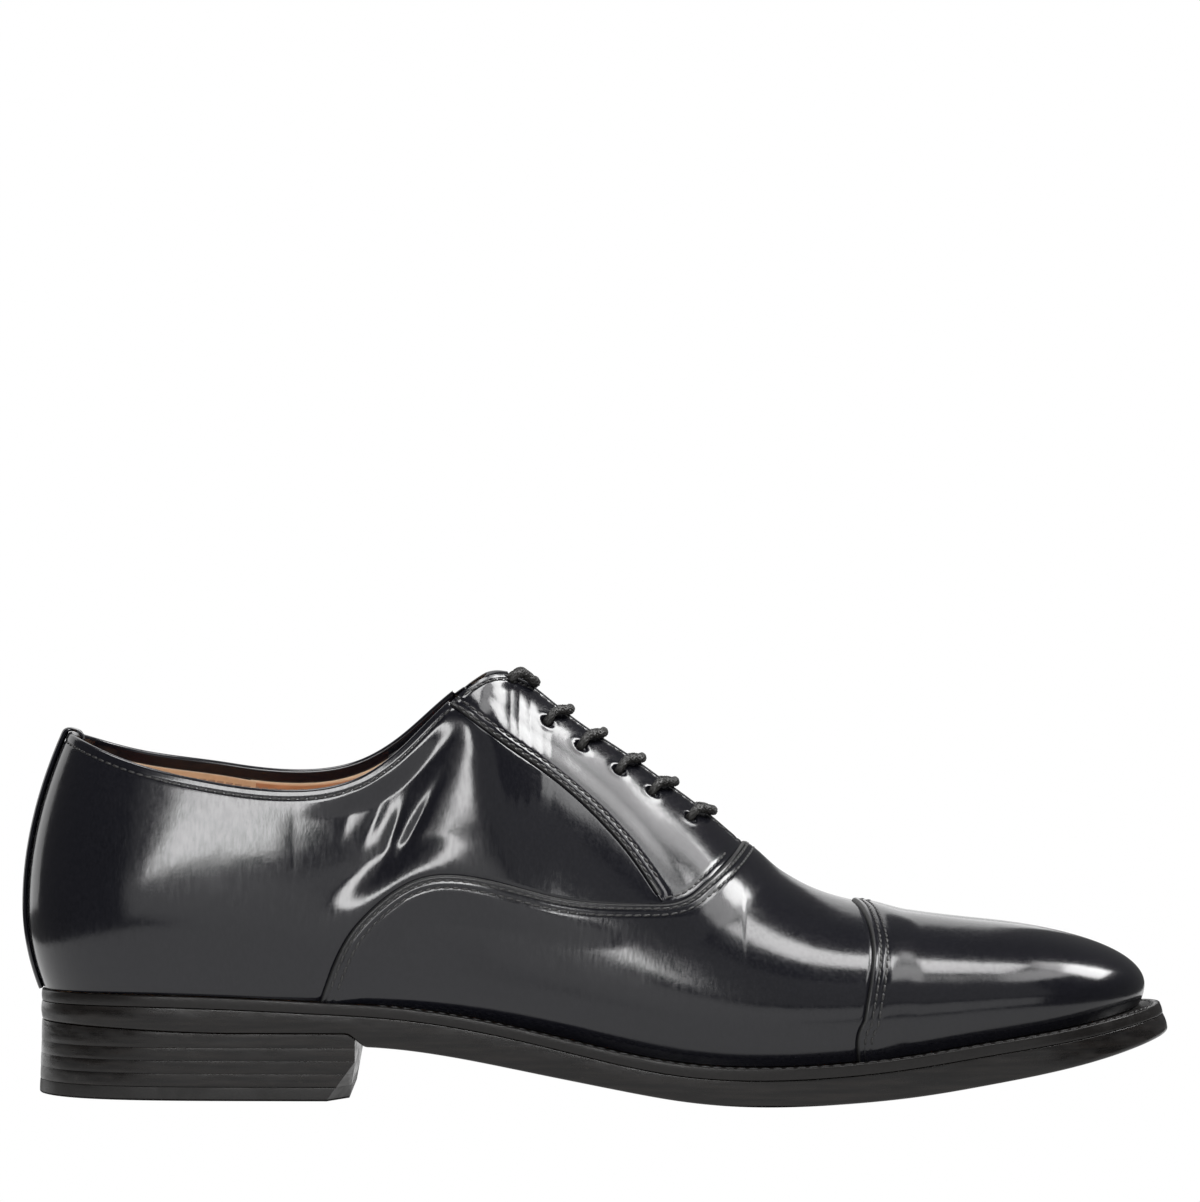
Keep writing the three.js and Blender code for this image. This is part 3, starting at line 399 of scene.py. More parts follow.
def height_where(station, low, high, is_low):
    """The height share, by halving, at which is_low(height) turns from true to false."""
    low = np.full(np.shape(station), float(low))
    high = np.full(np.shape(station), float(high))
    for _ in range(26):
        middle = (low + high) / 2
        below = is_low(middle)
        low = np.where(below, middle, low)
        high = np.where(below, high, middle)
    return (low + high) / 2


def height_at(station, side, level):
    """The height share at which a rib reaches a level above the welt."""
    return height_where(
        station, -1, 1, lambda h: upper_point(station, side, h)[..., 2] - sole_top(station) < level
    )


def height_at_side(station, side, distance):
    """The height share at which a rib is at a distance from the ridge, sideways."""
    return height_where(
        station, 0, 1, lambda h: np.abs(upper_point(station, side, h)[..., 1] - middle_line(station)) > distance
    )


# ---------------------------------------------------------------- seams, as heights above the welt
vamp_seam = spline(
    [(26.5, 0), (27.9, 11.4), (30.6, 23.8), (35, 34.2), (38.6, 37), (47.6, 36.4), (55.6, 39.6), (59.2, 43.2)]
    + [(60.6, 46.9), (62, 50.7), (63.2, 54.2), (THROAT, 56.4)]
)
facing_seam = spline(
    [(37.9, 81), (40.1, 77.6), (42.6, 73.5), (46, 68.4), (49.3, 62.7), (51.9, 56.8), (53.9, 51.1)]
    + [(56.2, 42.4)]
)
cap_bow = spline([(-1, 0), (0, 0.4), (0.4, 1.3), (0.7, 0.9), (1, -0.1)])

# ---------------------------------------------------------------- how close details sit to an edge, in millimetres
EDGE_ROWS = (0, 0.12, 0.3, 0.6, 0.95, 1.3, 1.65, 2.0, 2.4, 2.8, 3.2, 3.6, 4.0, 4.6, 5.4, 6.6)
TOP_ROWS = (0, 0.12, 0.3, 0.55, 0.9, 1.2, 1.5, 1.8, 2.1, 2.5, 3.1, 4.0)
NO_ROWS = (0,)
VAMP_ROWS = (1.5, 3.35)
CAP_ROWS = (2.1, 3.85)
FACING_ROWS = (0.75, 2.6)
TOP_LINE_ROW = 1.75
RIDGE_ROW = 1.5
THROAT_ROW = 1.9
OVERLAP = 6  # how far a piece runs under the next
LAP = 0.85  # how far a lapped edge stands above what it lies on
GROOVE_DEPTH = 0.2
GROOVE_HALF = 0.36


def groove(distance, rows):
    """Depth pressed into the leather by stitch rows at distances from an edge."""
    return sum(GROOVE_DEPTH * np.exp(-(((distance - row) / GROOVE_HALF) ** 2)) for row in rows)


def dull_and_shaded(mark, distance, rows):
    """Edge marks lowered in the grooves of stitch rows: rougher where the polish doesn't reach, and darker in colour
    as painted shade in the groove.
    """
    near = sum(np.exp(-(((distance - row) / 0.5) ** 2)) for row in rows)
    return mark * (1 - np.clip(near, 0, 1)) + 0.5 * np.clip(near, 0, 1)


def rounding(distance, radius):
    """How far an edge falls away, as a quarter round."""
    inside = np.clip(radius - distance, 0, radius)
    return radius - np.sqrt(np.maximum(radius**2 - inside**2, 0))


def lap(distance, height=LAP, start=3, end=13):
    return height * (1 - smooth(start, end, distance))


def tuck_under(distance):
    """Depth of a piece where it runs under another, by its distance past that one's edge."""
    return 0.35 * smooth(-0.6, 0.2, distance) + 1.0 * smooth(0, 2.5, distance)


def distance_to(points, line):
    """Distance from points to a dense line of points."""
    flat = points.reshape(-1, 3)
    starts, ends = line[:-1], line[1:]
    along = ends - starts
    square = np.maximum((along**2).sum(1), 1e-9)
    nearest = np.empty(len(flat))
    chunk = 4000
    for i in range(0, len(flat), chunk):
        away = flat[i : i + chunk, None] - starts
        t = np.clip((away * along).sum(2) / square, 0, 1)
        nearest[i : i + chunk] = np.sqrt(((away - along * t[..., None]) ** 2).sum(2).min(1))
    return nearest.reshape(points.shape[:-1])


# ---------------------------------------------------------------- grids on the upper
class Patch:
    """A grid on one side of the upper, between two lines of (station, height) points."""

    def __init__(self, side, low, high, rows, low_rows=NO_ROWS, high_rows=NO_ROWS):
        self.side = side
        low_s, low_h = np.broadcast_arrays(*low)
        high_s, high_h = np.broadcast_arrays(*high)
        shares = np.linspace(0, 1, 49)[:, None]
        s = mix(low_s, high_s, shares)
        h = mix(low_h, high_h, shares)
        rough = upper_point(s, side, h)
        steps = np.linalg.norm(np.diff(rough, axis=0), axis=-1)
        travelled = np.vstack([np.zeros(steps.shape[1]), np.cumsum(steps, axis=0)])
        share = np.array([
            np.interp(self.places(total, rows, low_rows, high_rows), walked, shares[:, 0])
            for total, walked in zip(travelled[-1], travelled.T)
        ])
        self.station = mix(low_s[:, None], high_s[:, None], share)
        self.height = mix(low_h[:, None], high_h[:, None], share)
        self.base = upper_point(self.station, side, self.height)
        self.normal = upper_normal(self.station, side, self.height)
        self.level = self.base[..., 2] - sole_top(self.station)
        self.lift = np.zeros(self.station.shape)
        self.edge = np.full(self.station.shape, 99.0)

    @staticmethod
    def places(total, rows, low_rows, high_rows):
        """Distances of the rows along a column: close near its ends and even between them."""
        low = np.array(low_rows, float)
        high = np.array(high_rows, float)
        share = min(1, 0.45 * total / max(low[-1], high[-1], 1e-9)) if max(low[-1], high[-1]) > 0 else 1
        middle = np.linspace(low[-1] * share, total - high[-1] * share, rows + 2)[1:-1]
        return np.concatenate([low * share, middle, (total - high * share)[::-1]])

    def outer(self, depth=0.0):
        return self.base + times(self.normal, self.lift - depth)


def line_on(station, side, height, depth=0.0):
    """A dense line on the upper's surface."""
    return under(station, side, height, depth)


def throat_stations(start, end, step=0.35):
    return np.linspace(start, end, int((end - start) / step) + 2)


def seam_line(side, seam, start, end):
    stations = throat_stations(start, end, 0.18)
    return line_on(stations, side, height_at(stations, side, seam(stations)))


VAMP_LINES = {side: seam_line(side, vamp_seam, VAMP_START, THROAT) for side in BOTH_SIDES}
FACING_LINES = {side: seam_line(side, facing_seam, FACING_SEAM_START, FACING_SEAM_END + 0.2) for side in BOTH_SIDES}
TOP_LINES = {side: line_on(np.linspace(0, THROAT, 420), side, 1.0) for side in BOTH_SIDES}


def cap_station(height, shift=0.0):
    return CAP_EDGE + cap_bow(height) + shift


CAP_HEIGHTS = np.linspace(-1, 1, 90)
CAP_LINE = np.vstack([
    line_on(cap_station(CAP_HEIGHTS), LATERAL, CAP_HEIGHTS),
    line_on(cap_station(CAP_HEIGHTS[::-1]), MEDIAL, CAP_HEIGHTS[::-1]),
])


def toe_stations(start, count):
    """Stations to the toe's tip, closer together as the toe rounds."""
    body = np.linspace(start, NOSE_START, count)
    turned = np.linspace(0, math.pi / 2 * 0.985, count + 20)[1:]
    noses = np.cos(turned)
    return np.concatenate([body, NOSE_START + (100 - NOSE_START) * (1 - noses**2) ** (1 / NOSE_POWER)])


# ---------------------------------------------------------------- meshes
class Shell:
    """Gathers grids of outer and inner points, joins what meets and closes the rim."""

    def __init__(self):
        self.outer = []
        self.inner = []
        self.marks = []
        self.faces = []
        self.count = 0

    def grid(self, outer, inner, mark=None, flip=False):
        rows, columns = outer.shape[:2]
        ids = self.count + np.arange(rows * columns).reshape(rows, columns)
        quads = np.stack([ids[:-1, :-1], ids[1:, :-1], ids[1:, 1:], ids[:-1, 1:]], axis=-1).reshape(-1, 4)
        self.faces.append(quads[:, ::-1] if flip else quads)
        self.outer.append(outer.reshape(-1, 3))
        self.inner.append(inner.reshape(-1, 3))
        self.marks.append((np.full(rows * columns, 99.0) if mark is None else mark).ravel())
        self.count += rows * columns
        return self

    def mesh(self, name):
        outer = np.vstack(self.outer)
        _, first, same = np.unique(np.round(outer, 3), axis=0, return_index=True, return_inverse=True)
        same = same.ravel()
        count = len(first)
        faces = []
        for quad in same[np.vstack(self.faces)]:
            corners = [int(c) for i, c in enumerate(quad) if c != quad[i - 1]]
            if len(corners) > 2 and len(set(corners)) == len(corners):
                faces.append(corners)
        rim = {}
        for corners in faces:
            for a, b in zip(corners, corners[1:] + corners[:1]):
                if (b, a) in rim:
                    del rim[b, a]
                else:
                    rim[a, b] = True
        back = [[c + count for c in reversed(corners)] for corners in faces]
        walls = [[b, a, a + count, b + count] for a, b in rim]
        points = np.vstack([outer[first], np.vstack(self.inner)[first]])
        mesh = bpy.data.meshes.new(name)
        mesh.from_pydata(to_frame(points).tolist(), [], faces + back + walls)
        marks = np.concatenate(self.marks)[first]
        attribute = mesh.attributes.new("edge", "FLOAT", "POINT")
        attribute.data.foreach_set("value", np.tile(marks, 2).astype(np.float32))
        return mesh


SHARP = math.radians(42)


def piece(name, mesh, material, body, replaces=()):
    """Puts a mesh in the scene, riding on a body and standing for CAD nodes."""
    mesh.polygons.foreach_set("use_smooth", [True] * len(mesh.polygons))
    mesh.set_sharp_from_angle(angle=SHARP)
    mesh.materials.append(material)
    mesh.validate()
    made = bpy.data.objects.new(name, mesh)
    bpy.context.scene.collection.objects.link(made)
    if body == FLEX:
        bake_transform(made)
    else:
        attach(made, body)
    if replaces:
        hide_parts(*replaces)
    return made


# What crosses the ball, from just ahead of the throat to the cap's edge, lies between the rear and the forefoot; it
# rides on no body.
FLEX = "bends at the ball"
FLEX_START = tuple(to_frame((mm(64.3), 0, 12)))
FLEX_END = tuple(to_frame((mm(73.4), 0, 12)))


# ---------------------------------------------------------------- leather of the upper
def bent_patch(side, low, high, rows, bend, **edges):
    """A patch whose stations are shifted by bend(station, height), as along the bowed edge of the cap."""
    patch = Patch(side, low, high, rows, **edges)
    patch.flat = patch.station
    patch.station = np.minimum(patch.station + bend(patch.station, patch.height), 99.9977)
    patch.base = upper_point(patch.station, side, patch.height)
    patch.normal = upper_normal(patch.station, side, patch.height)
    patch.level = patch.base[..., 2] - sole_top(patch.station)
    return patch


def vamp_distance(patch):
    return np.minimum(distance_to(patch.base, VAMP_LINES[LATERAL]), distance_to(patch.base, VAMP_LINES[MEDIAL]))


def past_vamp(patch):
    """Distance that a point lies past the vamp's edge, beneath the vamp."""
    away = distance_to(patch.base, VAMP_LINES[patch.side])
    beneath = (patch.level < vamp_seam(patch.station)) & (patch.station > VAMP_START)
    return np.where(beneath, away, -away)


def vamp_patches():
    patches = []
    for side in BOTH_SIDES:
        wing = np.concatenate([np.linspace(VAMP_START, 30, 22), np.arange(30.2, THROAT, 0.21)])
        front = np.linspace(THROAT, CAP_EDGE + OVERLAP / 2.98, 60)
        s = np.concatenate([wing, front])
        lean = 3.5 * (1 - smooth(VAMP_START, 40, s))
        top = np.where(s < THROAT, height_at(s, side, vamp_seam(s)), 1.0)
        bow = lambda station, height: cap_bow(height) * smooth(66, CAP_EDGE, station)
        patch = bent_patch(side, (s + lean, -1.0), (s, top), 54, bow, high_rows=EDGE_ROWS)
        away = vamp_distance(patch)
        patch.lift = lap(away) - rounding(away, 0.75) - groove(away, VAMP_ROWS)
        patch.lift -= tuck_under((patch.flat - CAP_EDGE) * SHOE_LENGTH / 100)
        patch.edge = dull_and_shaded(np.minimum(away, 6), away, VAMP_ROWS)
        patches.append(patch)
    return patches


def cap_patches():
    patches = []
    near = CAP_EDGE + np.array(EDGE_ROWS) / SHOE_LENGTH * 100
    s = np.concatenate([near, toe_stations(near[-1] + 0.3, 44)])
    bow = lambda station, height: cap_bow(height) * (1 - smooth(CAP_EDGE, 80, station))
    for side in BOTH_SIDES:
        patch = bent_patch(side, (s, -1.0), (s, 1.0), 84, bow)
        away = distance_to(patch.base, CAP_LINE)
        patch.lift = lap(away, 0.8, 4, 14) - rounding(away, 0.8) - groove(away, CAP_ROWS)
        patch.edge = dull_and_shaded(np.minimum(away, 6), away, CAP_ROWS)
        patches.append(patch)
    return patches


def fold_radius(station):
    """Radius of the rolled edge; it shrinks where the facings close at the throat."""
    return 0.12 + 0.78 * (1 - smooth(59.5, 63.5, station))


FOLD_HEIGHT = 3.2  # leather turned in below the topline


def height_below_top(station, side, distance):
    """The height share at a distance down the surface from the top."""
    shares = np.linspace(1, 0.5, 40)[:, None]
    walk = upper_point(np.broadcast_to(station, (40, len(station))), side, shares)
    steps = np.linalg.norm(np.diff(walk, axis=0), axis=-1)
    gone = np.vstack([np.zeros(len(station)), np.cumsum(steps, axis=0)])
    return np.array([np.interp(distance, column, shares[:, 0]) for column in gone.T])


def fold_rows(patch, columns):
    """Rows that carry a patch's top over the edge and down inside: outer and inner points."""
    station = patch.station[columns, -1]
    side = patch.side
    top = patch.outer()[columns, -1]
    normal = patch.normal[columns, -1]
    before = patch.base[columns, -4]
    up = unit(patch.base[columns, -1] - before)
    up = unit(up - times(normal, (up * normal).sum(-1)))
    r = fold_radius(station)
    outer, inner = [], []
    for angle in np.linspace(0, math.pi, 9)[1:]:
        arm = times(normal, math.cos(angle) * np.ones_like(r)) + times(up, math.sin(angle) * np.ones_like(r))
        centre = top - times(normal, r)
        outer.append(centre + times(arm, r))
        inner.append(centre + times(arm, r * 0.55))
    for drop in (0.8, 1.7, 2.5, FOLD_HEIGHT):
        height = height_below_top(station, side, drop)
        deep = under(station, side, height, 0) - times(normal, 2 * r)
        outer.append(deep)
        inner.append(deep + times(normal, r * 0.45))
    return np.stack(outer, axis=1), np.stack(inner, axis=1)


def folded_grid(shell, patch, thickness, folded):
    """Adds a patch whose top edge is rolled over wherever folded is true for its column."""
    thin = mix(fold_radius(patch.station) * 0.45, thickness, smooth(2, 6, patch.from_top))
    outer = patch.outer()
    inner = patch.outer() - times(patch.normal, thin)
    shell.grid(outer, inner, patch.edge, patch.side == MEDIAL)
    over, within = fold_rows(patch, folded)
    edge = np.full((over.shape[0], over.shape[1] + 1), 99.0)
    rolled = np.concatenate([outer[folded, -1:], over], axis=1)
    rolled_in = np.concatenate([inner[folded, -1:], within], axis=1)
    shell.grid(rolled, rolled_in, edge, patch.side == MEDIAL)


def quarter_patch(side):
    s = np.concatenate([np.linspace(0.1, 26.3, 110), np.linspace(26.5, 58, 160)])
    low = np.where(s < VAMP_START, -1.0, height_at(s, side, vamp_seam(s) - OVERLAP))
    high = np.where(s < FACING_SEAM_START, 1.0, height_at(s, side, facing_seam(s) + OVERLAP))
    patch = Patch(side, (s, low), (s, high), 70, high_rows=TOP_ROWS)
    patch.from_top = distance_to(patch.base, TOP_LINES[side])
    to_facing = distance_to(patch.base, FACING_LINES[side])
    beyond = (patch.level > facing_seam(patch.station)) & (patch.station > FACING_SEAM_START)
    patch.lift = -groove(patch.from_top, (TOP_LINE_ROW,)) * (patch.station < FACING_SEAM_START + 0.5)
    patch.lift -= tuck_under(past_vamp(patch))
    patch.lift -= tuck_under(np.where(beyond, to_facing, -to_facing))
    patch.lift -= collar_creases(patch) + ankle_hollow(patch)
    patch.edge = dull_and_shaded(np.minimum(patch.edge, 6), patch.from_top, (TOP_LINE_ROW,))
    return patch


def ankle_hollow(patch):
    """The soft hollow below the ankle, where the quarter draws in towards the waist."""
    across = (patch.station - 32.8 - 0.05 * (patch.level - 45)) * SHOE_LENGTH / 100
    to_facing = distance_to(patch.base, FACING_LINES[patch.side])
    fade = smooth(0.5, 11, -past_vamp(patch)) * smooth(1.5, 8, patch.from_top) * smooth(14, 34, patch.level)
    return 2.0 * np.exp(-0.5 * (across / 11) ** 2) * fade * smooth(0, 9, to_facing)


def collar_creases(patch):
    """Shallow slanting creases where the collar dips, and a soft hollow under them."""
    depth = np.zeros(patch.station.shape)
    for station, level, length, deep, lean in (
        (32.9, 47, 7, 0.34, 0.10),
        (31.2, 49, 6, 0.26, 0.12),
        (35.1, 50, 9, 0.42, 0.16),
        (29.0, 50, 6, 0.16, 0.10),
    ):
        across = (patch.station - station - lean * (patch.level - level)) * SHOE_LENGTH / 100
        along = (patch.level - level) / length
        depth += deep * np.exp(-((across / 1.5) ** 2)) * np.exp(-(along**2))
    return depth


def facing_low(station):
    """Level of the facing's lower edge: its seam, and then its corner hidden under the vamp."""
    seam = facing_seam(np.minimum(station, 56.2)) - 3.9 * np.maximum(0, station - 56.2)
    return np.maximum(seam, vamp_seam(station) - OVERLAP)


def eyelet_centres(side):
    return np.array([eyelet_frame(station, side)[0] for station in EYELET_STATIONS])


def facing_patch(side):
    s = np.linspace(FACING_SEAM_START, 65, 190)
    low = height_at(s, side, facing_low(s))
    lean = 3 * (1 - smooth(FACING_SEAM_START, 48, s))
    patch = Patch(side, (s, low), (s + lean, 1.0), 52, low_rows=EDGE_ROWS, high_rows=TOP_ROWS)
    patch.from_top = distance_to(patch.base, TOP_LINES[side])
    from_seam = distance_to(patch.base, FACING_LINES[side])
    past = past_vamp(patch)
    hole = np.full(patch.station.shape, 99.0)
    for centre in eyelet_centres(side):
        hole = np.minimum(hole, np.linalg.norm(patch.base - centre, axis=-1))
    patch.lift = lap(from_seam, 0.55, 3, 10) - rounding(from_seam, 0.45)
    patch.lift -= groove(from_seam, FACING_ROWS) + groove(patch.from_top, (RIDGE_ROW,))
    patch.lift -= groove(-past, (THROAT_ROW,)) * smooth(56.5, 57.5, patch.station)
    patch.lift -= tuck_under(past)
    patch.lift -= 1.1 * (1 - smooth(1.0, 1.9, hole)) - 0.12 * np.exp(-(((hole - 2.6) / 0.8) ** 2))
    patch.edge = np.minimum(np.minimum(from_seam + 0.4, 4 * hole), 6)
    patch.edge = dull_and_shaded(patch.edge, from_seam, FACING_ROWS)
    patch.edge = dull_and_shaded(patch.edge, patch.from_top, (RIDGE_ROW,))
    return patch


# ---------------------------------------------------------------- back strip
def strip_point(along, across):
    """The back strip's outer face: up the back seam, over the topline and down inside as a tab."""
    half = FAN * STRIP_HALF_WIDTH / (math.pi / 2 * mm(FAN))
    crown = STRIP_THICK * (0.35 + 0.65 * np.sqrt(np.maximum(0, 1 - np.abs(across) ** 5)))
    outside = np.minimum(along, 1)
    station = np.abs(across) * half
    left = under(station, LATERAL, outside, -crown)
    right = under(station, MEDIAL, outside, -crown)
    face = np.where((across < 0)[..., None], left, right)
    return face


def back_strip_patch():
    across = np.linspace(-1, 1, 25)
    up = np.linspace(-1, 1, 90)
    grid_up, grid_across = np.meshgrid(up, across, indexing="ij")
    outer = strip_point(grid_up, grid_across)
    ribs = np.abs(grid_across)
    outer = outer - times(strip_normal(grid_up, grid_across), 0.22 * np.exp(-(((ribs - 0.66) / 0.1) ** 2)))
    top = outer[-1]
    normal = strip_normal(grid_up[-1], grid_across[-1])
    rise_way = unit(outer[-1] - outer[-3])
    rows = [outer]
    r = 2.3
    for angle in np.linspace(0, math.pi, 13)[1:]:
        arm = times(normal, np.full(25, math.cos(angle))) + times(rise_way, np.full(25, math.sin(angle) * 0.62))
        rows.append((top - times(normal, np.full(25, r)) + times(arm, np.full(25, r)))[None])
    tab = rows[-1][0]
    for drop in np.linspace(0.8, 7.5, 9):
        narrow = math.sqrt(max(0.0, 1 - (drop / 7.9) ** 4))
        middle = tab[12]
        rows.append((middle + (tab - middle) * narrow - rise_way * drop)[None])
    return np.vstack(rows)


def strip_normal(along, across):
    left = upper_normal(np.abs(across) * 0.6, LATERAL, np.minimum(along, 1))
    right = upper_normal(np.abs(across) * 0.6, MEDIAL, np.minimum(along, 1))
    return np.where((across < 0)[..., None], left, right)


def thickened(grid, depth):
    """A grid and its copy pushed in against its own normals."""
    along = np.gradient(grid, axis=0)
    across = np.gradient(grid, axis=1)
    normal = unit(np.cross(across, along))
    return grid, grid - normal * depth


# ---------------------------------------------------------------- linings
COUNTER_TOP = 36


def lining_depth(patch):
    heel = (1 - smooth(27, 34, patch.station)) * (1 - smooth(COUNTER_TOP + 2, COUNTER_TOP + 12, patch.level))
    toe = smooth(69, 76, patch.station)
    return STIFF_DEPTH + heel * (COUNTER + LAYER_GAP) + toe * (PUFF + LAYER_GAP)


lining_seam = spline([(40, 0), (48, 12), (56, 26), (63, 44), (66, 60)])


def lining_grid(shell, side, stations, low, high, rows, over=0.0):
    """Adds a piece of lining; over is how far its front edge stands on the next piece."""
    patch = Patch(side, (stations, low), (stations, high), rows, high_rows=(0, 0.2, 0.5, 1.0, 1.6, 2.2))
    patch.from_top = distance_to(patch.base, TOP_LINES[side])
    dent = 0.2 * np.exp(-(((patch.from_top - FOLD_HEIGHT - 1.3) / 0.4) ** 2))
    depth = lining_depth(patch) + ankle_hollow(patch) + over * smooth(HEEL_LINING_END - 2, HEEL_LINING_END, patch.station)
    outer = patch.outer(depth)
    inner = patch.outer(depth + LINING - dent)
    shell.grid(outer, inner, patch.from_top, side == MEDIAL)


def below_fold(stations, side):
    return height_below_top(stations, side, FOLD_HEIGHT - 0.5)


def quarter_lining(side):
    s = np.linspace(HEEL_LINING_END + 0.1, 62.9, 120)
    low = np.where(s < 40, -1.0, height_at(s, side, lining_seam(s) - 2))
    shell = Shell()
    lining_grid(shell, side, s, low, below_fold(s, side), 30)
    return shell


def heel_lining():
    shell = Shell()
    s = np.linspace(0, HEEL_LINING_END + 0.8, 60)
    for side in BOTH_SIDES:
        lining_grid(shell, side, s, -1.0, below_fold(s, side), 30, over=0.45)
    return shell


def vamp_lining():
    shell = Shell()
    for side in BOTH_SIDES:
        s = np.concatenate([np.linspace(41, THROAT, 50), toe_stations(64.5, 24)])
        high = np.where(s < THROAT, height_at(s, side, lining_seam(s)), 1.0)
        lining_grid(shell, side, s, -1.0, high, 24)
    return shell


# ---------------------------------------------------------------- tongue
TONGUE_START = 36.2
TONGUE_END = 66
tongue_fall = spline([(36.2, 17.5), (39.5, 9.2), (43, 3.4), (48, 0.4), (52, 0)], level_end=True)
tongue_steep = spline([(36, 6), (45, 9), (55, 9), (62, 6.8), (67, 5)])
tongue_round = spline([(36, 12), (45, 8.5), (55, 8.5), (62, 10), (67, 12)])


def tongue_point(station, share, depth):
    half = mix(TONGUE_HALF_TOP, TONGUE_HALF_BASE, smooth(36, 45, station))
    taper = np.sqrt(smooth(TONGUE_START - 3.5, TONGUE_START + 3.5, station))
    y = half * taper * share
    drop = tongue_steep(station) * (np.sqrt(1 + (y / tongue_round(station)) ** 2) - 1)
    ridge = sole_top(station) + ridge_height(np.maximum(42, station)) + 1.5 * np.maximum(0, 42 - station)
    z = ridge - TONGUE_DROP - tongue_fall(station) - drop - depth
    return vector(mm(station), middle_line(station) + y, z)


def tongue_grid(depth, thickness):
    """The tongue as two stacked sheets with soft edges."""
    station, share = np.meshgrid(
        np.concatenate([TONGUE_START + np.array([0, 0.06, 0.15, 0.3, 0.5]), np.linspace(37, TONGUE_END, 90)]),
        np.concatenate([[-1, -0.99, -0.97, -0.94], np.linspace(-0.9, 0.9, 41), [0.94, 0.97, 0.99, 1]]),
        indexing="ij",
    )
    from_side = (1 - np.abs(share)) * TONGUE_HALF_BASE
    from_end = (station - TONGUE_START) * SHOE_LENGTH / 100
    soft = rounding(np.minimum(from_side, from_end), thickness / 2)
    outer = tongue_point(station, share, depth + soft)
    inner = tongue_point(station, share, depth + thickness - soft * 0.6)
    return outer, inner, np.minimum(from_side, from_end)

# ---------------------------------------------------------------- eyelets and the lace's route, as in the CAD model
EYELET_STATIONS = (59.2, 55.8, 52.85, 49.45, 46.45, 43.3)
RING_DEPTH = STIFF_DEPTH + LINING + 0.95
ROUTE_DEPTH = RING_DEPTH + EYELET_THICK + GAP + LACE / 2 + 0.3
BAR_LIFT = LACE / 2 + 0.6
BAR_FORWARD = 2


def rib_frame(station, side, away):
    """A point of a CAD rib at a distance from the ridge, and the outward direction there."""
    at = np.array([float(station)])
    height = height_where(
        at, 0, 1, lambda h: np.abs(rib_point(at, side, h)[..., 1] - middle_line(at)) > away
    )
    return rib_point(at, side, height)[0], side_normal(at, side, height, rib_point)[0]


def eyelet_frame(station, side):
    return rib_frame(station, side, EYELET_INSET)


def lace_point(station, side, away, depth):
    point, normal = rib_frame(station, side, away)
    return point - normal * depth


def over_ridge(station, lift):
    at = np.array([max(float(station), FACING_START)])
    middle = (top_point(at, LATERAL)[0] + top_point(at, MEDIAL)[0]) / 2
    back = max(0, FACING_START - station)
    return middle + np.array([-mm(back), 0, lift])


def through(station, side, turn):
    """Down through an eyelet, from above the leather to below the ring, turning off at each end."""
    centre, normal = eyelet_frame(station, side)
    low = lace_point(station, side, EYELET_INSET + turn * 2.2, ROUTE_DEPTH)
    high = lace_point(station + 0.25, side, EYELET_INSET - 2, -BAR_LIFT)
    depths = (-0.6, RING_DEPTH * 0.5, RING_DEPTH + EYELET_THICK)
    return [high, *[centre - normal * depth for depth in depths], low]


def bar(station):
    ridge = over_ridge(station + BAR_FORWARD, BAR_LIFT + 0.1)
    near, far = (
        [
            lace_point(station + 0.4 * BAR_FORWARD, side, EYELET_INSET * 0.58, -BAR_LIFT),
            lace_point(station + 0.85 * BAR_FORWARD, side, EYELET_INSET * 0.27, -BAR_LIFT),
        ]
        for side in BOTH_SIDES
    )
    return [*near, ridge, *far[::-1]]


def crossing(start, end):
    return [
        lace_point(mix(start, end, 0.2), MEDIAL, EYELET_INSET * 0.5, ROUTE_DEPTH),
        over_ridge(mix(start, end, 0.5), -ROUTE_DEPTH - 0.7),
        lace_point(mix(start, end, 0.8), LATERAL, EYELET_INSET * 0.5, ROUTE_DEPTH),
    ]


def side_run():
    """The end that runs straight up inside the outer facing."""
    return [
        lace_point(s, LATERAL, EYELET_INSET + 9.5 + 7 * (1 - smooth(37, 46, s)), ROUTE_DEPTH + 0.2)
        for s in (36.2, 38, 40, 43, 46.5, 50, 53.5, 57)
    ]


def tail():
    return [
        lace_point(s, MEDIAL, EYELET_INSET + 2 + 14.5 * (1 - smooth(37, 44, s)), ROUTE_DEPTH + 0.2)
        for s in (42, 40, 38, 36.2)
    ]


def lace_route():
    points = side_run()
    last = len(EYELET_STATIONS) - 1
    for i, station in enumerate(EYELET_STATIONS):
        points += through(station, LATERAL, 1 if i == 0 else -1)[::-1]
        points += bar(station)
        points += through(station, MEDIAL, 1 if i == last else -1)
        points += tail() if i == last else crossing(station, EYELET_STATIONS[i + 1])
    return np.array(points)


def centripetal(points, step):
    """A centripetal Catmull-Rom curve through points, resampled evenly."""
    padded = np.vstack([2 * points[0] - points[1], points, 2 * points[-1] - points[-2]])
    knots = np.concatenate([[0], np.cumsum(np.sqrt(np.linalg.norm(np.diff(padded, axis=0), axis=1)))])
    pieces = []
    for i in range(1, len(padded) - 2):
        t0, t1, t2, t3 = knots[i - 1 : i + 3]
        p0, p1, p2, p3 = padded[i - 1 : i + 3]
        t = np.linspace(t1, t2, 24, endpoint=False)[:, None]
        a1 = (t1 - t) / (t1 - t0) * p0 + (t - t0) / (t1 - t0) * p1
        a2 = (t2 - t) / (t2 - t1) * p1 + (t - t1) / (t2 - t1) * p2
        a3 = (t3 - t) / (t3 - t2) * p2 + (t - t2) / (t3 - t2) * p3
        b1 = (t2 - t) / (t2 - t0) * a1 + (t - t0) / (t2 - t0) * a2
        b2 = (t3 - t) / (t3 - t1) * a2 + (t - t1) / (t3 - t1) * a3
        pieces.append((t2 - t) / (t2 - t1) * b1 + (t - t1) / (t2 - t1) * b2)
    return resampled(np.vstack([*pieces, points[-1:]]), step)


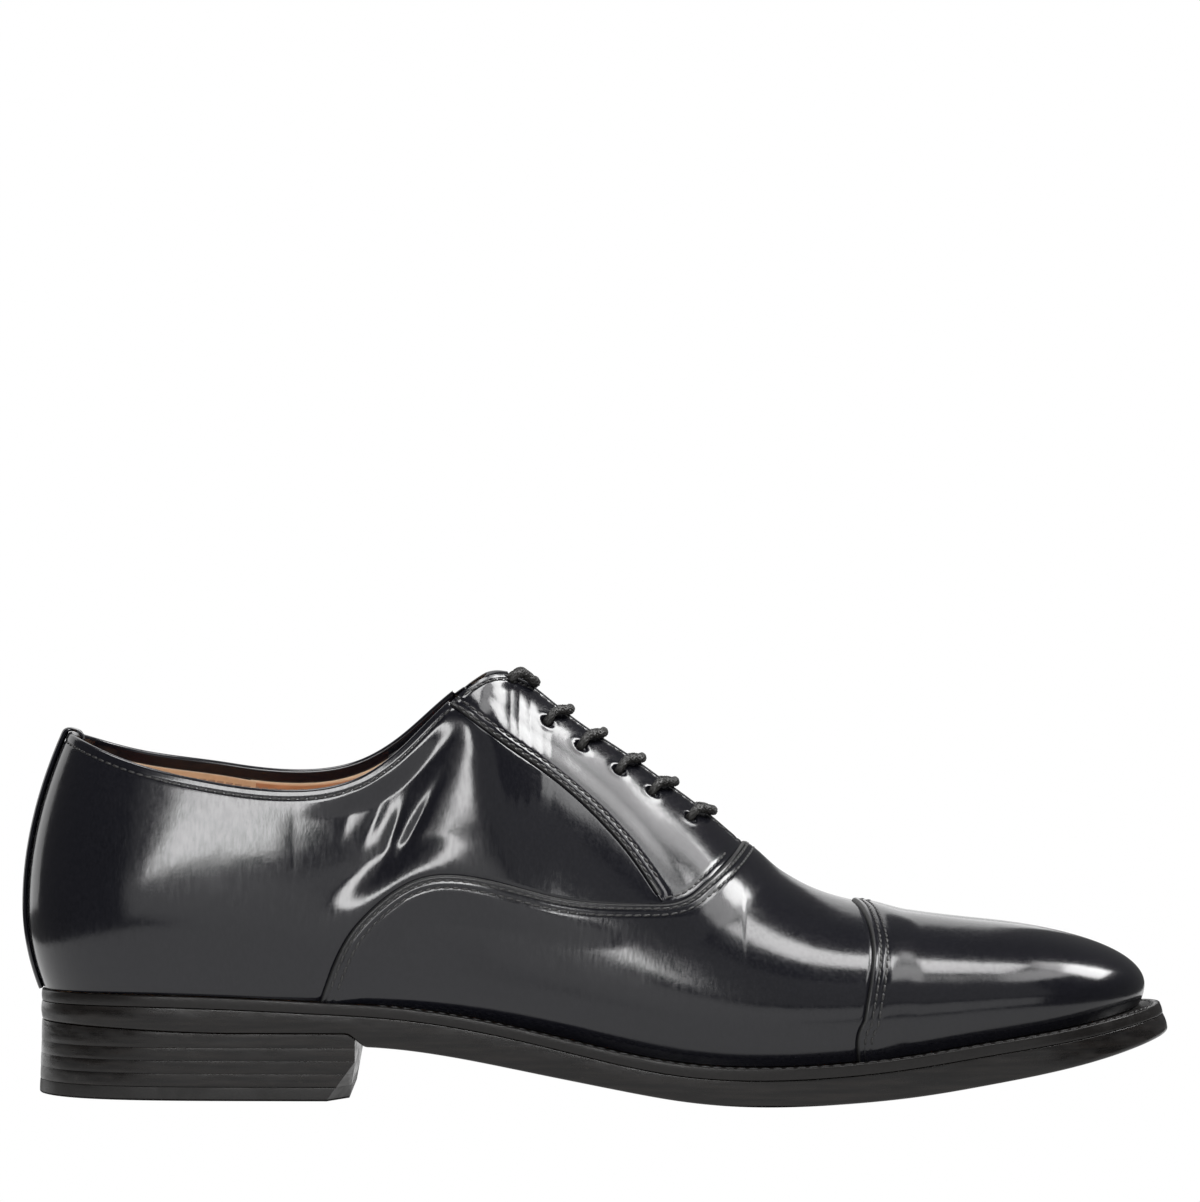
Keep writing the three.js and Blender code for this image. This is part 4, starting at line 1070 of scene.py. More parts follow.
def resampled(line, step):
    """Points spaced evenly along a line."""
    gone = np.concatenate([[0], np.cumsum(np.linalg.norm(np.diff(line, axis=0), axis=1))])
    places = np.linspace(0, gone[-1], max(2, round(gone[-1] / step) + 1))
    return np.stack([np.interp(places, gone, line[:, i]) for i in range(3)], axis=1)


def carried_frames(line):
    """Tangents and two crosswise directions carried along a line without twisting."""
    tangent = unit(np.gradient(line, axis=0))
    first = np.empty_like(line)
    first[0] = unit(np.cross(tangent[0], [0.3, 0.5, 0.8]))
    for i in range(1, len(line)):
        first[i] = unit(first[i - 1] - tangent[i] * (first[i - 1] @ tangent[i]))
    return tangent, first, np.cross(tangent, first)


def tube(line, radius, sides, relief=None):
    """Rings of points around a line; relief(angle, travelled) raises the surface."""
    tangent, first, second = carried_frames(line)
    angle = np.linspace(0, 2 * math.pi, sides, endpoint=False)
    gone = np.concatenate([[0], np.cumsum(np.linalg.norm(np.diff(line, axis=0), axis=1))])
    around, travelled = np.meshgrid(angle, gone)
    r = radius * np.ones_like(around) if np.isscalar(radius) else np.broadcast_to(radius[:, None], around.shape)
    if relief:
        r = r + relief(around, travelled)
    return line[:, None] + times(first[:, None], r * np.cos(around)) + times(second[:, None], r * np.sin(around))


def loops_mesh(name, stacks):
    """A closed mesh from stacks of loops; what coincides is joined. A stack is (loops, capped)."""
    points, faces, count = [], [], 0
    for loops, capped in stacks:
        rows, sides = loops.shape[:2]
        ids = count + np.arange(rows * sides).reshape(rows, sides)
        after = np.roll(ids, -1, axis=1)
        faces += np.stack([ids[:-1], ids[1:], after[1:], after[:-1]], axis=-1).reshape(-1, 4).tolist()
        if capped:
            faces += [ids[0].tolist(), ids[-1][::-1].tolist()]
        points.append(loops.reshape(-1, 3))
        count += rows * sides
    mesh = bpy.data.meshes.new(name)
    mesh.from_pydata(to_frame(np.vstack(points)).tolist(), [], faces)
    made = bmesh.new()
    made.from_mesh(mesh)
    bmesh.ops.remove_doubles(made, verts=made.verts, dist=2e-6)
    bmesh.ops.recalc_face_normals(made, faces=made.faces)
    made.to_mesh(mesh)
    made.free()
    return mesh


BRAID_STRANDS = 8
BRAID_PITCH = 1.5  # along the lace between crossings
BRAID_RELIEF = 0.24


def braid(angle, travelled):
    """Over and under strands of a round braid."""
    along = travelled * 2 * math.pi / (BRAID_PITCH * 2)
    a = np.cos(BRAID_STRANDS / 2 * angle + along)
    b = np.cos(BRAID_STRANDS / 2 * angle - along)
    return BRAID_RELIEF * (np.maximum(a, b) ** 2 * np.where(a > b, 1, 0.82) - 0.75)


def lace_mesh():
    line = centripetal(lace_route(), 0.19)
    return loops_mesh("lace_braid", [(tube(line, LACE / 2, 32, braid), True)])


def aglet_mesh(name, before, end):
    """A shrunk plastic end with a rolled lip and a rounded tip."""
    away = unit(end - before)
    line = resampled(np.array([end + away * GAP, end + away * (GAP + 15)]), 0.25)
    gone = np.linspace(0, 15, len(line))
    radius = 1.35 - 0.18 * smooth(0.6, 1.4, gone) - 0.1 * smooth(11, 15, gone)
    radius = radius - rounding(15 - gone, 0.7) - rounding(gone, 0.3)
    return loops_mesh(name, [(tube(line, np.maximum(radius, 0.05), 20), True)])


# ---------------------------------------------------------------- sole and heel
reach = spline(
    [(0, -3.7), (12, -2.4), (24, -1.5), (31, -1.1), (38, -0.9), (45, 0.3), (52, 1.9), (60, 3.1)]
    + [(70, 3.5), (85, 3.8), (100, 4.1)]
)
waist_tuck = spline([(24, 0), (31, 0.4), (38, 1.3), (45, 1.1), (52, 0.4), (60, 0)])
BREAST = 29.8
BREAST_SLANT = 2.6
HEEL_FLARE = 0.6
NOTCH_LENGTH = 7.2
NOTCH_HEIGHT = 9.9
NOTCH_DEPTH = 9
WELT_WIDTH = 8


def toe_flare(station):
    return 2 * smooth(84, 100, station)


def edge_point(station, side, distance):
    point = bulge_point(station, side)
    pulled = waist_tuck(station) if side == MEDIAL else 0
    return point + times(outward(station, side), distance - pulled)


def edge_profile(station, side, profile):
    """Points down an edge: profile gives (distance from the widest line, level) as functions of station."""
    made = []
    for distance, level in profile:
        point = edge_point(station, side, distance(station))
        point[..., 2] = level(station_of(point[..., 0]))
        made.append(point)
    return np.stack(made, axis=1)


def closed_at_tip(left, right):
    """Brings the last loops of both sides together."""
    middle = (left[-1] + right[-1]) / 2
    left[-1] = middle
    right[-1] = middle
    return left, right


def plate_loops(station, profile, inner=5):
    """Loops across a solid plate: down the outer edge, across below, up the inner edge and across above."""
    left, right = closed_at_tip(*[edge_profile(station, side, profile) for side in BOTH_SIDES])
    share = np.linspace(0, 1, inner + 2)[1:-1][None, :, None]
    below = mix(left[:, -1:], right[:, -1:], share)
    above = mix(right[:, :1], left[:, :1], share)
    return np.concatenate([left, below, right[:, ::-1], above], axis=1)


def sole_stations(start=0.0):
    return np.concatenate([np.linspace(start, 24, 70), np.linspace(24.3, 28.5, 14), np.linspace(28.6, 30.9, 16),
                           np.linspace(31.2, 84, 150), toe_stations(84.2, 34)])


def edge_curve(high, low, top_distance, low_distance, bulge=0.15, soft_top=0.35, soft_low=0.35, count=7):
    """Profile of a sole edge with softened corners and a faint belly."""
    rows = []
    for angle in np.linspace(math.pi / 2, 0, 4):
        rows.append((
            lambda s, a=angle: top_distance(s) - soft_top * (1 - math.cos(a)),
            lambda s, a=angle: high(s) - soft_top * (1 - math.sin(a)),
        ))
    for share in np.linspace(0, 1, count)[1:-1]:
        rows.append((
            lambda s, t=share: mix(top_distance(s), low_distance(s), t) + bulge * math.sin(math.pi * t),
            lambda s, t=share: mix(high(s) - soft_top, low(s) + soft_low, t),
        ))
    for angle in np.linspace(0, math.pi / 2, 4):
        rows.append((
            lambda s, a=angle: low_distance(s) - soft_low * (1 - math.cos(a)),
            lambda s, a=angle: low(s) + soft_low * (1 - math.sin(a)),
        ))
    return rows


def outsole_mesh():
    high = lambda s: np.maximum(sole_top(s) - WELT - 0.12, sole_bottom(s) + 1)
    upper_edge = lambda s: reach(s) + 0.4 * toe_flare(s)
    lower_edge = lambda s: reach(s) + toe_flare(s)
    rows = edge_curve(high, sole_bottom, upper_edge, lower_edge, 0.22, 0.2, 0.75, 12)
    inset = 5.0
    rows.append((lambda s: lower_edge(s) - inset, sole_bottom))
    rows.append((lambda s: lower_edge(s) - inset - 0.35, lambda s: sole_bottom(s) + 0.4))
    rows.append((lambda s: lower_edge(s) - inset - 0.7, sole_bottom))
    return loops_mesh("outsole_leather", [(plate_loops(sole_stations(), rows), False)])


WELT_ROW = 2.1  # welt stitches, in from the edge


def welt_mesh():
    low = lambda s: sole_top(s) - WELT + 0.02
    edge = lambda s: reach(s)
    low_edge = lambda s: reach(s) + 0.35 * toe_flare(s)
    rows = edge_curve(sole_top, low, edge, low_edge, 0.1, 0.4, 0.25, 5)
    for away, deep in ((1.4, 0), (1.7, 0.12), (WELT_ROW, 0.22), (2.5, 0.12), (2.8, 0)):
        rows.insert(0, (
            lambda s, d=away: edge(s) - d,
            lambda s, z=deep: sole_top(s) - z * smooth(27, 31, s),
        ))
    inside = lambda s: -tuck(s) - WELT_WIDTH
    rows.insert(0, (inside, sole_top))
    rows.append((inside, low))
    left, right = closed_at_tip(*[edge_profile(sole_stations(), side, rows) for side in BOTH_SIDES])
    return loops_mesh("welt_strip", [(left, False), (right, False)])


def heel_edge(station, level):
    return reach(station) + HEEL_FLARE * (1 - level / (sole_bottom(25) - GAP))


def cut_by_plane(made, point, normal):
    """Removes what is beyond a plane and closes the cut."""
    geometry = made.verts[:] + made.edges[:] + made.faces[:]
    result = bmesh.ops.bisect_plane(
        made, geom=geometry, dist=1e-7, plane_co=point, plane_no=normal, clear_outer=True
    )
    edges = [e for e in result["geom_cut"] if isinstance(e, bmesh.types.BMEdge)]
    bmesh.ops.edgeloop_fill(made, edges=edges)


def heel_layer_mesh(name, low, high, high_level, inset, soft):
    """One layer of the heel, cut by its sloped front and by the corner taken off its outer side."""
    station = np.concatenate([np.linspace(0, 24, 70), np.linspace(24.5, 31, 14)])
    edge = lambda level: (lambda s: heel_edge(s, level) - inset)
    rows = edge_curve(high_level, lambda s: low + 0 * s, edge(high), edge(low), 0.04, soft, soft, 5)
    mesh = loops_mesh(name, [(plate_open(station, rows), True)])
    made = bmesh.new()
    made.from_mesh(mesh)
    front = mm(BREAST) - 0.6
    slope = unit(np.array([NOTCH_HEIGHT + 1, 0, -(BREAST_SLANT - 0.6)]))
    a = np.array([front - NOTCH_LENGTH, -(OUTER_HEEL - 1.5), 0])
    b = np.array([front, -(OUTER_HEEL - 1.5), NOTCH_HEIGHT])
    c = np.array([front - BREAST_SLANT + 0.2, -(OUTER_HEEL - 1.5) + NOTCH_DEPTH, 0])
    notch = unit(np.cross(b - a, c - a))
    notch = notch if notch[0] > 0 else -notch
    planes = [(b, np.array([1.0, 0, 0])), (b, slope), (a, notch)]
    for point, normal in planes:
        heights = np.array([v.co for v in made.verts]) - to_frame(point)
        if len(heights) and (heights @ normal).max() > 1e-7:
            cut_by_plane(made, tuple(to_frame(point)), tuple(normal))
    bmesh.ops.recalc_face_normals(made, faces=made.faces)
    made.to_mesh(mesh)
    made.free()
    return mesh


def plate_open(station, profile, inner=5):
    """Loops across a plate that ends bluntly at its last station."""
    left, right = (edge_profile(station, side, profile) for side in BOTH_SIDES)
    share = np.linspace(0, 1, inner + 2)[1:-1][None, :, None]
    below = mix(left[:, -1:], right[:, -1:], share)
    above = mix(right[:, :1], left[:, :1], share)
    return np.concatenate([left, below, right[:, ::-1], above], axis=1)


def heel_layers():
    """(name, mesh) of the lifts and the top piece."""
    top_level = sole_bottom(25) - GAP
    layer = (top_level - TOP_PIECE) / LIFT_COUNT
    made = [("heel_top_piece", heel_layer_mesh("heel_top_piece_rubber", 0, TOP_PIECE, lambda s: TOP_PIECE + 0 * s, 0, 0.35))]
    for i in range(LIFT_COUNT):
        low = TOP_PIECE + i * layer + 0.03
        high = TOP_PIECE + (i + 1) * layer
        last = i == LIFT_COUNT - 1
        level = (lambda s: sole_bottom(s) - 0.08) if last else (lambda s, z=high: z + 0 * s)
        inset = (0.03, 0.0, 0.04, 0.01)[i % 4]
        made.append((f"heel_lift_{i + 1}", heel_layer_mesh(f"heel_lift_{i + 1}_leather", low, high, level, inset, 0.09)))
    return made


# ---------------------------------------------------------------- stitches
def stitch_line(patches, line, distance, towards):
    """A line on finished patches at a distance from a seam, on the side that the direction towards points to."""
    flat = np.vstack([patch.outer().reshape(-1, 3) for patch in patches])
    base = np.vstack([patch.base.reshape(-1, 3) for patch in patches])
    normals = np.vstack([patch.normal.reshape(-1, 3) for patch in patches])
    tangent = unit(np.gradient(line, axis=0))
    across = unit(np.cross(normals[closest(line, base)], tangent))
    moved = line + across * np.sign((across * towards).sum(-1).mean()) * distance
    nearest = closest(moved, base)
    normal = normals[nearest]
    return moved - times(normal, ((moved - flat[nearest]) * normal).sum(-1)), normal


def closest(points, cloud):
    """The index of the nearest cloud point to each point."""
    found = np.empty(len(points), int)
    for i in range(0, len(points), 40):
        away = points[i : i + 40, None] - cloud[None]
        found[i : i + 40] = (away**2).sum(2).argmin(1)
    return found


STITCH_PITCH = 2.4
THREAD = 0.3  # half the thread's width


def stitches(line, normal, pitch=STITCH_PITCH, half_width=THREAD, share=0.43, proud=0.06):
    """Threads laid end to end along a line: loops of points for each."""
    gone = np.concatenate([[0], np.cumsum(np.linalg.norm(np.diff(line, axis=0), axis=1))])
    count = max(1, int(gone[-1] / pitch))
    middles = (np.arange(count) + 0.5) * gone[-1] / count
    at = lambda places, values: np.stack([np.interp(places, gone, values[:, i]) for i in range(3)], axis=-1)
    loops = []
    for middle in middles:
        span = share * gone[-1] / count
        places = middle + span * np.array([-1, -0.93, -0.75, -0.4, 0, 0.4, 0.75, 0.93, 1])
        bow = np.array([-0.30, -0.16, -0.03, 0.04, 0.06, 0.04, -0.03, -0.16, -0.30])
        size = np.array([0.25, 0.6, 0.85, 1, 1, 1, 0.85, 0.6, 0.25])
        centre = at(places, line)
        up = unit(at(places, normal))
        across = unit(np.cross(up, unit(np.gradient(centre, axis=0))))
        centre = centre + times(up, bow + proud) + times(across, 0.09 * np.linspace(-1, 1, 9))
        angle = np.linspace(0, 2 * math.pi, 8, endpoint=False)
        ring = times(across[:, None], half_width * size[:, None] * np.cos(angle)[None])
        ring = ring + times(up[:, None], 0.85 * half_width * size[:, None] * np.sin(angle)[None])
        loops.append((centre[:, None] + ring, True))
    return loops



# ---------------------------------------------------------------- materials
class Finish:
    """A material with a principled shader, and short calls for the nodes around it."""

    def __init__(self, name, base, roughness, specular=0.5, **sockets):
        self.material = bpy.data.materials.new(name)
        self.material.use_nodes = True
        self.tree = self.material.node_tree
        self.shader = self.tree.nodes["Principled BSDF"]
        self.shader.inputs["Base Color"].default_value = (*base, 1)
        self.shader.inputs["Roughness"].default_value = roughness
        self.shader.inputs["Specular IOR Level"].default_value = specular
        for key, value in sockets.items():
            self.shader.inputs[key.replace("_", " ")].default_value = value
        self.place = self.tree.nodes.new("ShaderNodeTexCoord").outputs["Object"]
        self.relief = None

    def node(self, kind, inputs, **settings):
        made = self.tree.nodes.new("ShaderNode" + kind)
        for key, value in settings.items():
            setattr(made, key, value)
        for key, value in inputs.items():
            if isinstance(value, bpy.types.NodeSocket):
                self.tree.links.new(value, made.inputs[key])
            else:
                made.inputs[key].default_value = value
        return made

    def stretched(self, stretch):
        return self.node("Mapping", {"Vector": self.place, "Scale": stretch}).outputs["Vector"]

    def noise(self, size, detail=2.0, rough=0.5, stretch=(1, 1, 1)):
        """Noise whose features are about size millimetres wide."""
        inputs = {"Vector": self.stretched(stretch), "Scale": 1000 / size, "Detail": detail, "Roughness": rough}
        return self.node("TexNoise", inputs).outputs["Fac"]

    def cells(self, size, stretch=(1, 1, 1), feature="F1"):
        inputs = {"Vector": self.stretched(stretch), "Scale": 1000 / size}
        return self.node("TexVoronoi", inputs, feature=feature).outputs["Distance"]

    def attribute(self, name):
        return self.node("Attribute", {}, attribute_name=name).outputs["Fac"]

    def ramp(self, value, low, high, start=0.0, end=1.0):
        """Goes from start to end, smoothly, as value goes from low to high."""
        inputs = {"Value": value, "From Min": low, "From Max": high, "To Min": start, "To Max": end}
        return self.node("MapRange", inputs, interpolation_type="SMOOTHSTEP").outputs["Result"]

    def math(self, operation, a, b):
        return self.node("Math", {0: a, 1: b}, operation=operation).outputs["Value"]

    def mixed(self, factor, low, high):
        """A colour between two colours; each is three numbers or another node's output."""
        made = self.node("Mix", {}, data_type="RGBA")
        for socket, value in ((made.inputs[0], factor), (made.inputs[6], low), (made.inputs[7], high)):
            if isinstance(value, bpy.types.NodeSocket):
                self.tree.links.new(value, socket)
            else:
                socket.default_value = (*value, 1) if isinstance(value, tuple) else value
        return made.outputs[2]

    def bump(self, height, depth):
        """Adds relief: height from 0 to 1 stands for depth millimetres."""
        inputs = {"Height": height, "Distance": depth / 1000, "Strength": 1.0}
        if self.relief:
            inputs["Normal"] = self.relief
        self.relief = self.node("Bump", inputs).outputs["Normal"]
        self.tree.links.new(self.relief, self.shader.inputs["Normal"])
        return self

    def drive(self, socket, value):
        self.tree.links.new(value, self.shader.inputs[socket])
        return self


def calf_leather():
    """Polished black calf: brushed grain, a faint unevenness, dull raw edges and painted shade in the stitch grooves.
    """
    finish = Finish("polished_black_calf", (0.006, 0.006, 0.008), 0.15)
    edge = finish.ramp(finish.attribute("edge"), 0.35, 1.0)
    cloud = finish.noise(14, 3)
    grain = finish.noise(0.55, 3, 0.6, (1, 1, 0.45))
    colour = finish.mixed(cloud, (0.0026, 0.0027, 0.0045), (0.0052, 0.0054, 0.0085))
    colour = finish.mixed(finish.ramp(grain, 0.3, 0.75), colour, (0.008, 0.008, 0.011))
    # Raw edges take the darker edge colour; where the edge mark is lowered in stitch grooves, the same darker colour
    # is painted shade.
    finish.drive("Base Color", finish.mixed(edge, (0.004, 0.004, 0.004), colour))
    streak = finish.noise(0.8, 2, 0.5, (1, 1, 0.12))
    polish = finish.ramp(streak, 0.25, 0.8, 0.12, 0.19)
    polish = finish.math("ADD", polish, finish.ramp(finish.noise(22, 2), 0.3, 0.8, -0.01, 0.04))
    dull = finish.ramp(finish.attribute("edge"), 0.35, 1.0, 0.35, 0)
    finish.drive("Roughness", finish.math("ADD", polish, dull))
    finish.bump(finish.noise(11, 2), 0.08)
    finish.bump(streak, 0.006)
    return finish.bump(grain, 0.012).material


def lining_leather():
    finish = Finish("tan_lining_leather", (0.47, 0.21, 0.10), 0.5, 0.35)
    cloud = finish.ramp(finish.noise(9, 4), 0.3, 0.75)
    colour = finish.mixed(cloud, (0.42, 0.185, 0.085), (0.55, 0.26, 0.13))
    raw = finish.ramp(finish.attribute("edge"), FOLD_HEIGHT - 0.35, FOLD_HEIGHT + 0.25)
    finish.drive("Base Color", finish.mixed(raw, (0.74, 0.52, 0.34), colour))
    grain = finish.cells(0.6)
    finish.drive("Roughness", finish.ramp(grain, 0, 1, 0.42, 0.62))
    finish.bump(finish.noise(7, 3), 0.25)
    return finish.bump(grain, 0.06).material


def heel_suede():
    finish = Finish("tan_suede", (0.58, 0.37, 0.22), 0.95, 0.12, Sheen_Weight=0.35, Sheen_Roughness=0.5)
    nap = finish.noise(1.6, 5, 0.7)
    brushed = finish.noise(6, 3, 0.6, (1, 1, 0.5))
    colour = finish.mixed(nap, (0.45, 0.27, 0.15), (0.72, 0.49, 0.31))
    finish.drive("Base Color", finish.mixed(finish.ramp(brushed, 0.35, 0.7), colour, (0.62, 0.41, 0.25)))
    finish.bump(brushed, 0.2)
    return finish.bump(finish.noise(0.35, 4, 0.8), 0.14).material


def sole_leather():
    """Stacked leather stained black and waxed; the underside keeps a smooth dark brown."""
    finish = Finish("waxed_sole_leather", (0.012, 0.010, 0.009), 0.33, 0.34)
    fibre = finish.noise(1.1, 4, 0.65, (0.06, 0.06, 1))
    colour = finish.mixed(finish.ramp(fibre, 0.3, 0.75), (0.003, 0.0026, 0.0026), (0.012, 0.010, 0.009))
    scuff = finish.ramp(finish.noise(5, 5, 0.7, (1, 1, 2)), 0.62, 0.8)
    colour = finish.mixed(scuff, colour, (0.022, 0.018, 0.016))
    below = finish.tree.nodes.new("ShaderNodeTexCoord").outputs["Normal"]
    facing_down = finish.node("SeparateXYZ", {"Vector": below}).outputs["Z"]
    under_foot = finish.ramp(facing_down, -0.98, -0.9, 1, 0)
    finish.drive("Base Color", finish.mixed(under_foot, colour, (0.045, 0.024, 0.015)))
    worn = finish.ramp(finish.noise(9, 4, 0.6, (1, 1, 3)), 0.3, 0.75, 0.2, 0.46)
    finish.drive("Roughness", worn)
    finish.bump(finish.noise(12, 2, 0.5, (1, 1, 2)), 0.25)
    return finish.bump(fibre, 0.03).material


def welt_leather():
    finish = Finish("black_welt_leather", (0.009, 0.008, 0.008), 0.36, 0.3)
    grain = finish.noise(0.9, 4, 0.6)
    finish.drive("Base Color", finish.mixed(grain, (0.004, 0.0036, 0.0034), (0.012, 0.0105, 0.010)))
    finish.drive("Roughness", finish.ramp(finish.noise(6, 3), 0.3, 0.8, 0.28, 0.48))
    return finish.bump(grain, 0.06).material


def heel_rubber():
    finish = Finish("dark_rubber", (0.012, 0.011, 0.011), 0.5, 0.35)
    mould = finish.noise(0.5, 3)
    finish.drive("Base Color", finish.mixed(mould, (0.007, 0.0066, 0.0064), (0.016, 0.015, 0.0145)))
    finish.drive("Roughness", finish.ramp(finish.noise(8, 3), 0.3, 0.7, 0.45, 0.68))
    return finish.bump(mould, 0.05).material


def lace_cotton():
    finish = Finish("waxed_braid", (0.012, 0.011, 0.010), 0.45, 0.5)
    fibre = finish.noise(0.16, 3, 0.7)
    finish.drive("Base Color", finish.mixed(fibre, (0.004, 0.0038, 0.0035), (0.02, 0.0185, 0.017)))
    finish.drive("Roughness", finish.ramp(fibre, 0.3, 0.7, 0.34, 0.55))
    return finish.bump(fibre, 0.05).material


def waxed_thread():
    finish = Finish("waxed_black_thread", (0.02, 0.019, 0.019), 0.4)
    twist = finish.noise(0.14, 2, 0.6)
    finish.drive("Base Color", finish.mixed(twist, (0.010, 0.010, 0.010), (0.036, 0.034, 0.034)))
    return finish.bump(twist, 0.04).material


def tan_thread():
    finish = Finish("tan_thread", (0.3, 0.17, 0.1), 0.5)
    twist = finish.noise(0.14, 2, 0.6)
    finish.drive("Base Color", finish.mixed(twist, (0.22, 0.12, 0.07), (0.42, 0.25, 0.15)))
    return finish.bump(twist, 0.04).material


def aglet_plastic():
    finish = Finish("shrunk_plastic", (0.012, 0.011, 0.011), 0.28)
    wrap = finish.noise(1.5, 3, 0.5, (1, 1, 3))
    finish.drive("Roughness", finish.ramp(wrap, 0.3, 0.7, 0.2, 0.4))
    return finish.bump(wrap, 0.03).material


def pressed_board():
    finish = Finish("pressed_board", (0.45, 0.32, 0.18), 0.85, 0.3)
    fibre = finish.noise(0.8, 4, 0.7)
    finish.drive("Base Color", finish.mixed(fibre, (0.36, 0.25, 0.14), (0.55, 0.41, 0.25)))
    return finish.bump(fibre, 0.1).material


def cork_crumb():
    finish = Finish("cork_crumb", (0.39, 0.23, 0.1), 0.9, 0.2)
    crumb = finish.cells(1.8)
    finish.drive("Base Color", finish.mixed(crumb, (0.5, 0.3, 0.14), (0.2, 0.1, 0.04)))
    return finish.bump(crumb, 0.3).material


def rolled_steel():
    finish = Finish("rolled_steel", (0.42, 0.42, 0.43), 0.35, Metallic=1.0)
    grain = finish.noise(0.6, 3, 0.6, (0.1, 1, 1))
    finish.drive("Roughness", finish.ramp(grain, 0.3, 0.7, 0.25, 0.45))
    return finish.bump(grain, 0.02).material


def painted_brass():
    finish = Finish("black_painted_eyelet", (0.02, 0.02, 0.02), 0.4)
    paint = finish.noise(0.7, 3)
    finish.drive("Roughness", finish.ramp(paint, 0.3, 0.7, 0.3, 0.5))
    return finish.bump(paint, 0.02).material


# ---------------------------------------------------------------- pieces
CALF = calf_leather()
TAN = lining_leather()
SUEDE = heel_suede()
SOLE = sole_leather()
WELT_LEATHER = welt_leather()
RUBBER = heel_rubber()
LACE_COTTON = lace_cotton()
THREAD_BLACK = waxed_thread()
THREAD_TAN = tan_thread()
PLASTIC = aglet_plastic()


def tip(shell, patches, thickness):
    """Closes a toe between the last columns of its two sides."""
    left, right = patches
    outer = np.stack([left.outer()[-1], right.outer()[-1]])
    inner = np.stack([p.outer()[-1] - times(p.normal[-1], thickness[-1]) for p in (left, right)])
    shell.grid(outer, inner)


def add_leather():
    """The outer leather; returns the patches that carry stitches."""
    vamp, cap = vamp_patches(), cap_patches()
    shell = Shell()
    for patch in vamp:
        thin = LEATHER - 0.55 * smooth(0, 1, -patch.lift)
        shell.grid(patch.outer(), patch.outer() - times(patch.normal, thin), patch.edge, patch.side == MEDIAL)
    piece("vamp_leather", shell.mesh("vamp_leather"), CALF, FLEX, ["vamp"])
    shell = Shell()
    for patch in cap:
        thin = np.full(patch.lift.shape, LEATHER)
        shell.grid(patch.outer(), patch.outer() - times(patch.normal, thin), patch.edge, patch.side == MEDIAL)
    tip(shell, cap, thin)
    piece("toe_cap_leather", shell.mesh("toe_cap_leather"), CALF, "forefoot", ["toe_cap"])
    quarters, facings = {}, {}
    for side in BOTH_SIDES:
        name = SIDE_NAMES[side]
        quarter = quarters[side] = quarter_patch(side)
        shell = Shell()
        folded_grid(shell, quarter, LEATHER - 0.55 * smooth(0, 1, -quarter.lift), quarter.station[:, -1] < FACING_SEAM_START)
        piece(f"quarter_{name}_leather", shell.mesh(f"quarter_{name}_leather"), CALF, "root",
              [f"quarter_{name}"])
        facing = facings[side] = facing_patch(side)
        shell = Shell()
        thin = LEATHER - 0.55 * smooth(0, 1, -facing.lift)
        folded_grid(shell, facing, thin, facing.station[:, -1] < 63.6)
        piece(f"facing_{name}_leather", shell.mesh(f"facing_{name}_leather"), CALF, "root",
              [f"facing_{name}"])
    shell = Shell().grid(*thickened(back_strip_patch(), STRIP_THICK * 0.8))
    piece("back_strip_leather", shell.mesh("back_strip_leather"), CALF, "root", ["back_strip"])
    return vamp, cap, quarters, facings


def add_linings():
    for side in BOTH_SIDES:
        name = f"quarter_lining_{SIDE_NAMES[side]}"
        piece(f"{name}_leather", quarter_lining(side).mesh(name), TAN, "root", [name])
    piece("heel_lining_suede", heel_lining().mesh("heel_lining"), SUEDE, "root", ["heel_lining"])
    piece("vamp_lining_leather", vamp_lining().mesh("vamp_lining"), TAN, FLEX, ["vamp_lining"])


def add_tongue():
    shell = Shell().grid(*tongue_grid(0, TONGUE_THICK))
    piece("tongue_leather", shell.mesh("tongue_leather"), CALF, "tongue", ["tongue"])
    shell = Shell().grid(*tongue_grid(TONGUE_THICK + GAP, LINING))
    piece("tongue_lining_leather", shell.mesh("tongue_lining"), TAN, "tongue", ["tongue_lining"])


def sock_mesh():
    layers = LEATHER + LINING + max(COUNTER, PUFF) + 2 * LAYER_GAP
    edge = lambda s: -tuck(s) - layers - 0.5 - GAP
    base = lambda s: sole_top(s) + 2 * GAP + INSOLE
    rows = edge_curve(lambda s: base(s) + SOCK, base, edge, edge, 0.05, 0.45, 0.2, 3)
    return loops_mesh("sock_lining", [(plate_loops(sole_stations(), rows, 15), False)])


def insole_mesh():
    layers = LEATHER + LINING + max(COUNTER, PUFF) + 2 * LAYER_GAP
    edge = lambda s: -tuck(s) - layers - 0.5
    base = lambda s: sole_top(s) + GAP
    rows = edge_curve(lambda s: base(s) + INSOLE, base, edge, edge, 0, 0.3, 0.3, 3)
    return loops_mesh("insole_board", [(plate_loops(sole_stations(), rows, 15), False)])


def cork_mesh():
    """The CAD filler with cross cuts at the ball, so that it can bend there."""
    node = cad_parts["cork_filler"]
    made = bmesh.new()
    made.from_mesh(node.data)
    made.transform(node.matrix_world)
    for share in np.linspace(0, 1, 9):
        place = Vector(mix(np.array(FLEX_START), np.array(FLEX_END), share))
        geometry = made.verts[:] + made.edges[:] + made.faces[:]
        bmesh.ops.bisect_plane(made, geom=geometry, plane_co=place, plane_no=Vector((1, 0, 0)))
    mesh = bpy.data.meshes.new("cork_filler_crumb")
    made.to_mesh(mesh)
    made.free()
    return mesh


def add_sole():
    piece("cork_filler_crumb", cork_mesh(), cork_crumb(), FLEX, ["cork_filler"])
    piece("insole_board", insole_mesh(), pressed_board(), FLEX, ["insole"])
    piece("sock_lining_leather", sock_mesh(), TAN, FLEX, ["sock_lining"])
    piece("outsole_leather", outsole_mesh(), SOLE, FLEX, ["outsole"])
    piece("welt_strip", welt_mesh(), WELT_LEATHER, FLEX, ["welt"])
    for node, mesh in heel_layers():
        rubber = node == "heel_top_piece"
        material, slot = (RUBBER, "top_piece_rubber") if rubber else (SOLE, "sole_leather")
        piece(mesh.name, mesh, material, "root", [node])


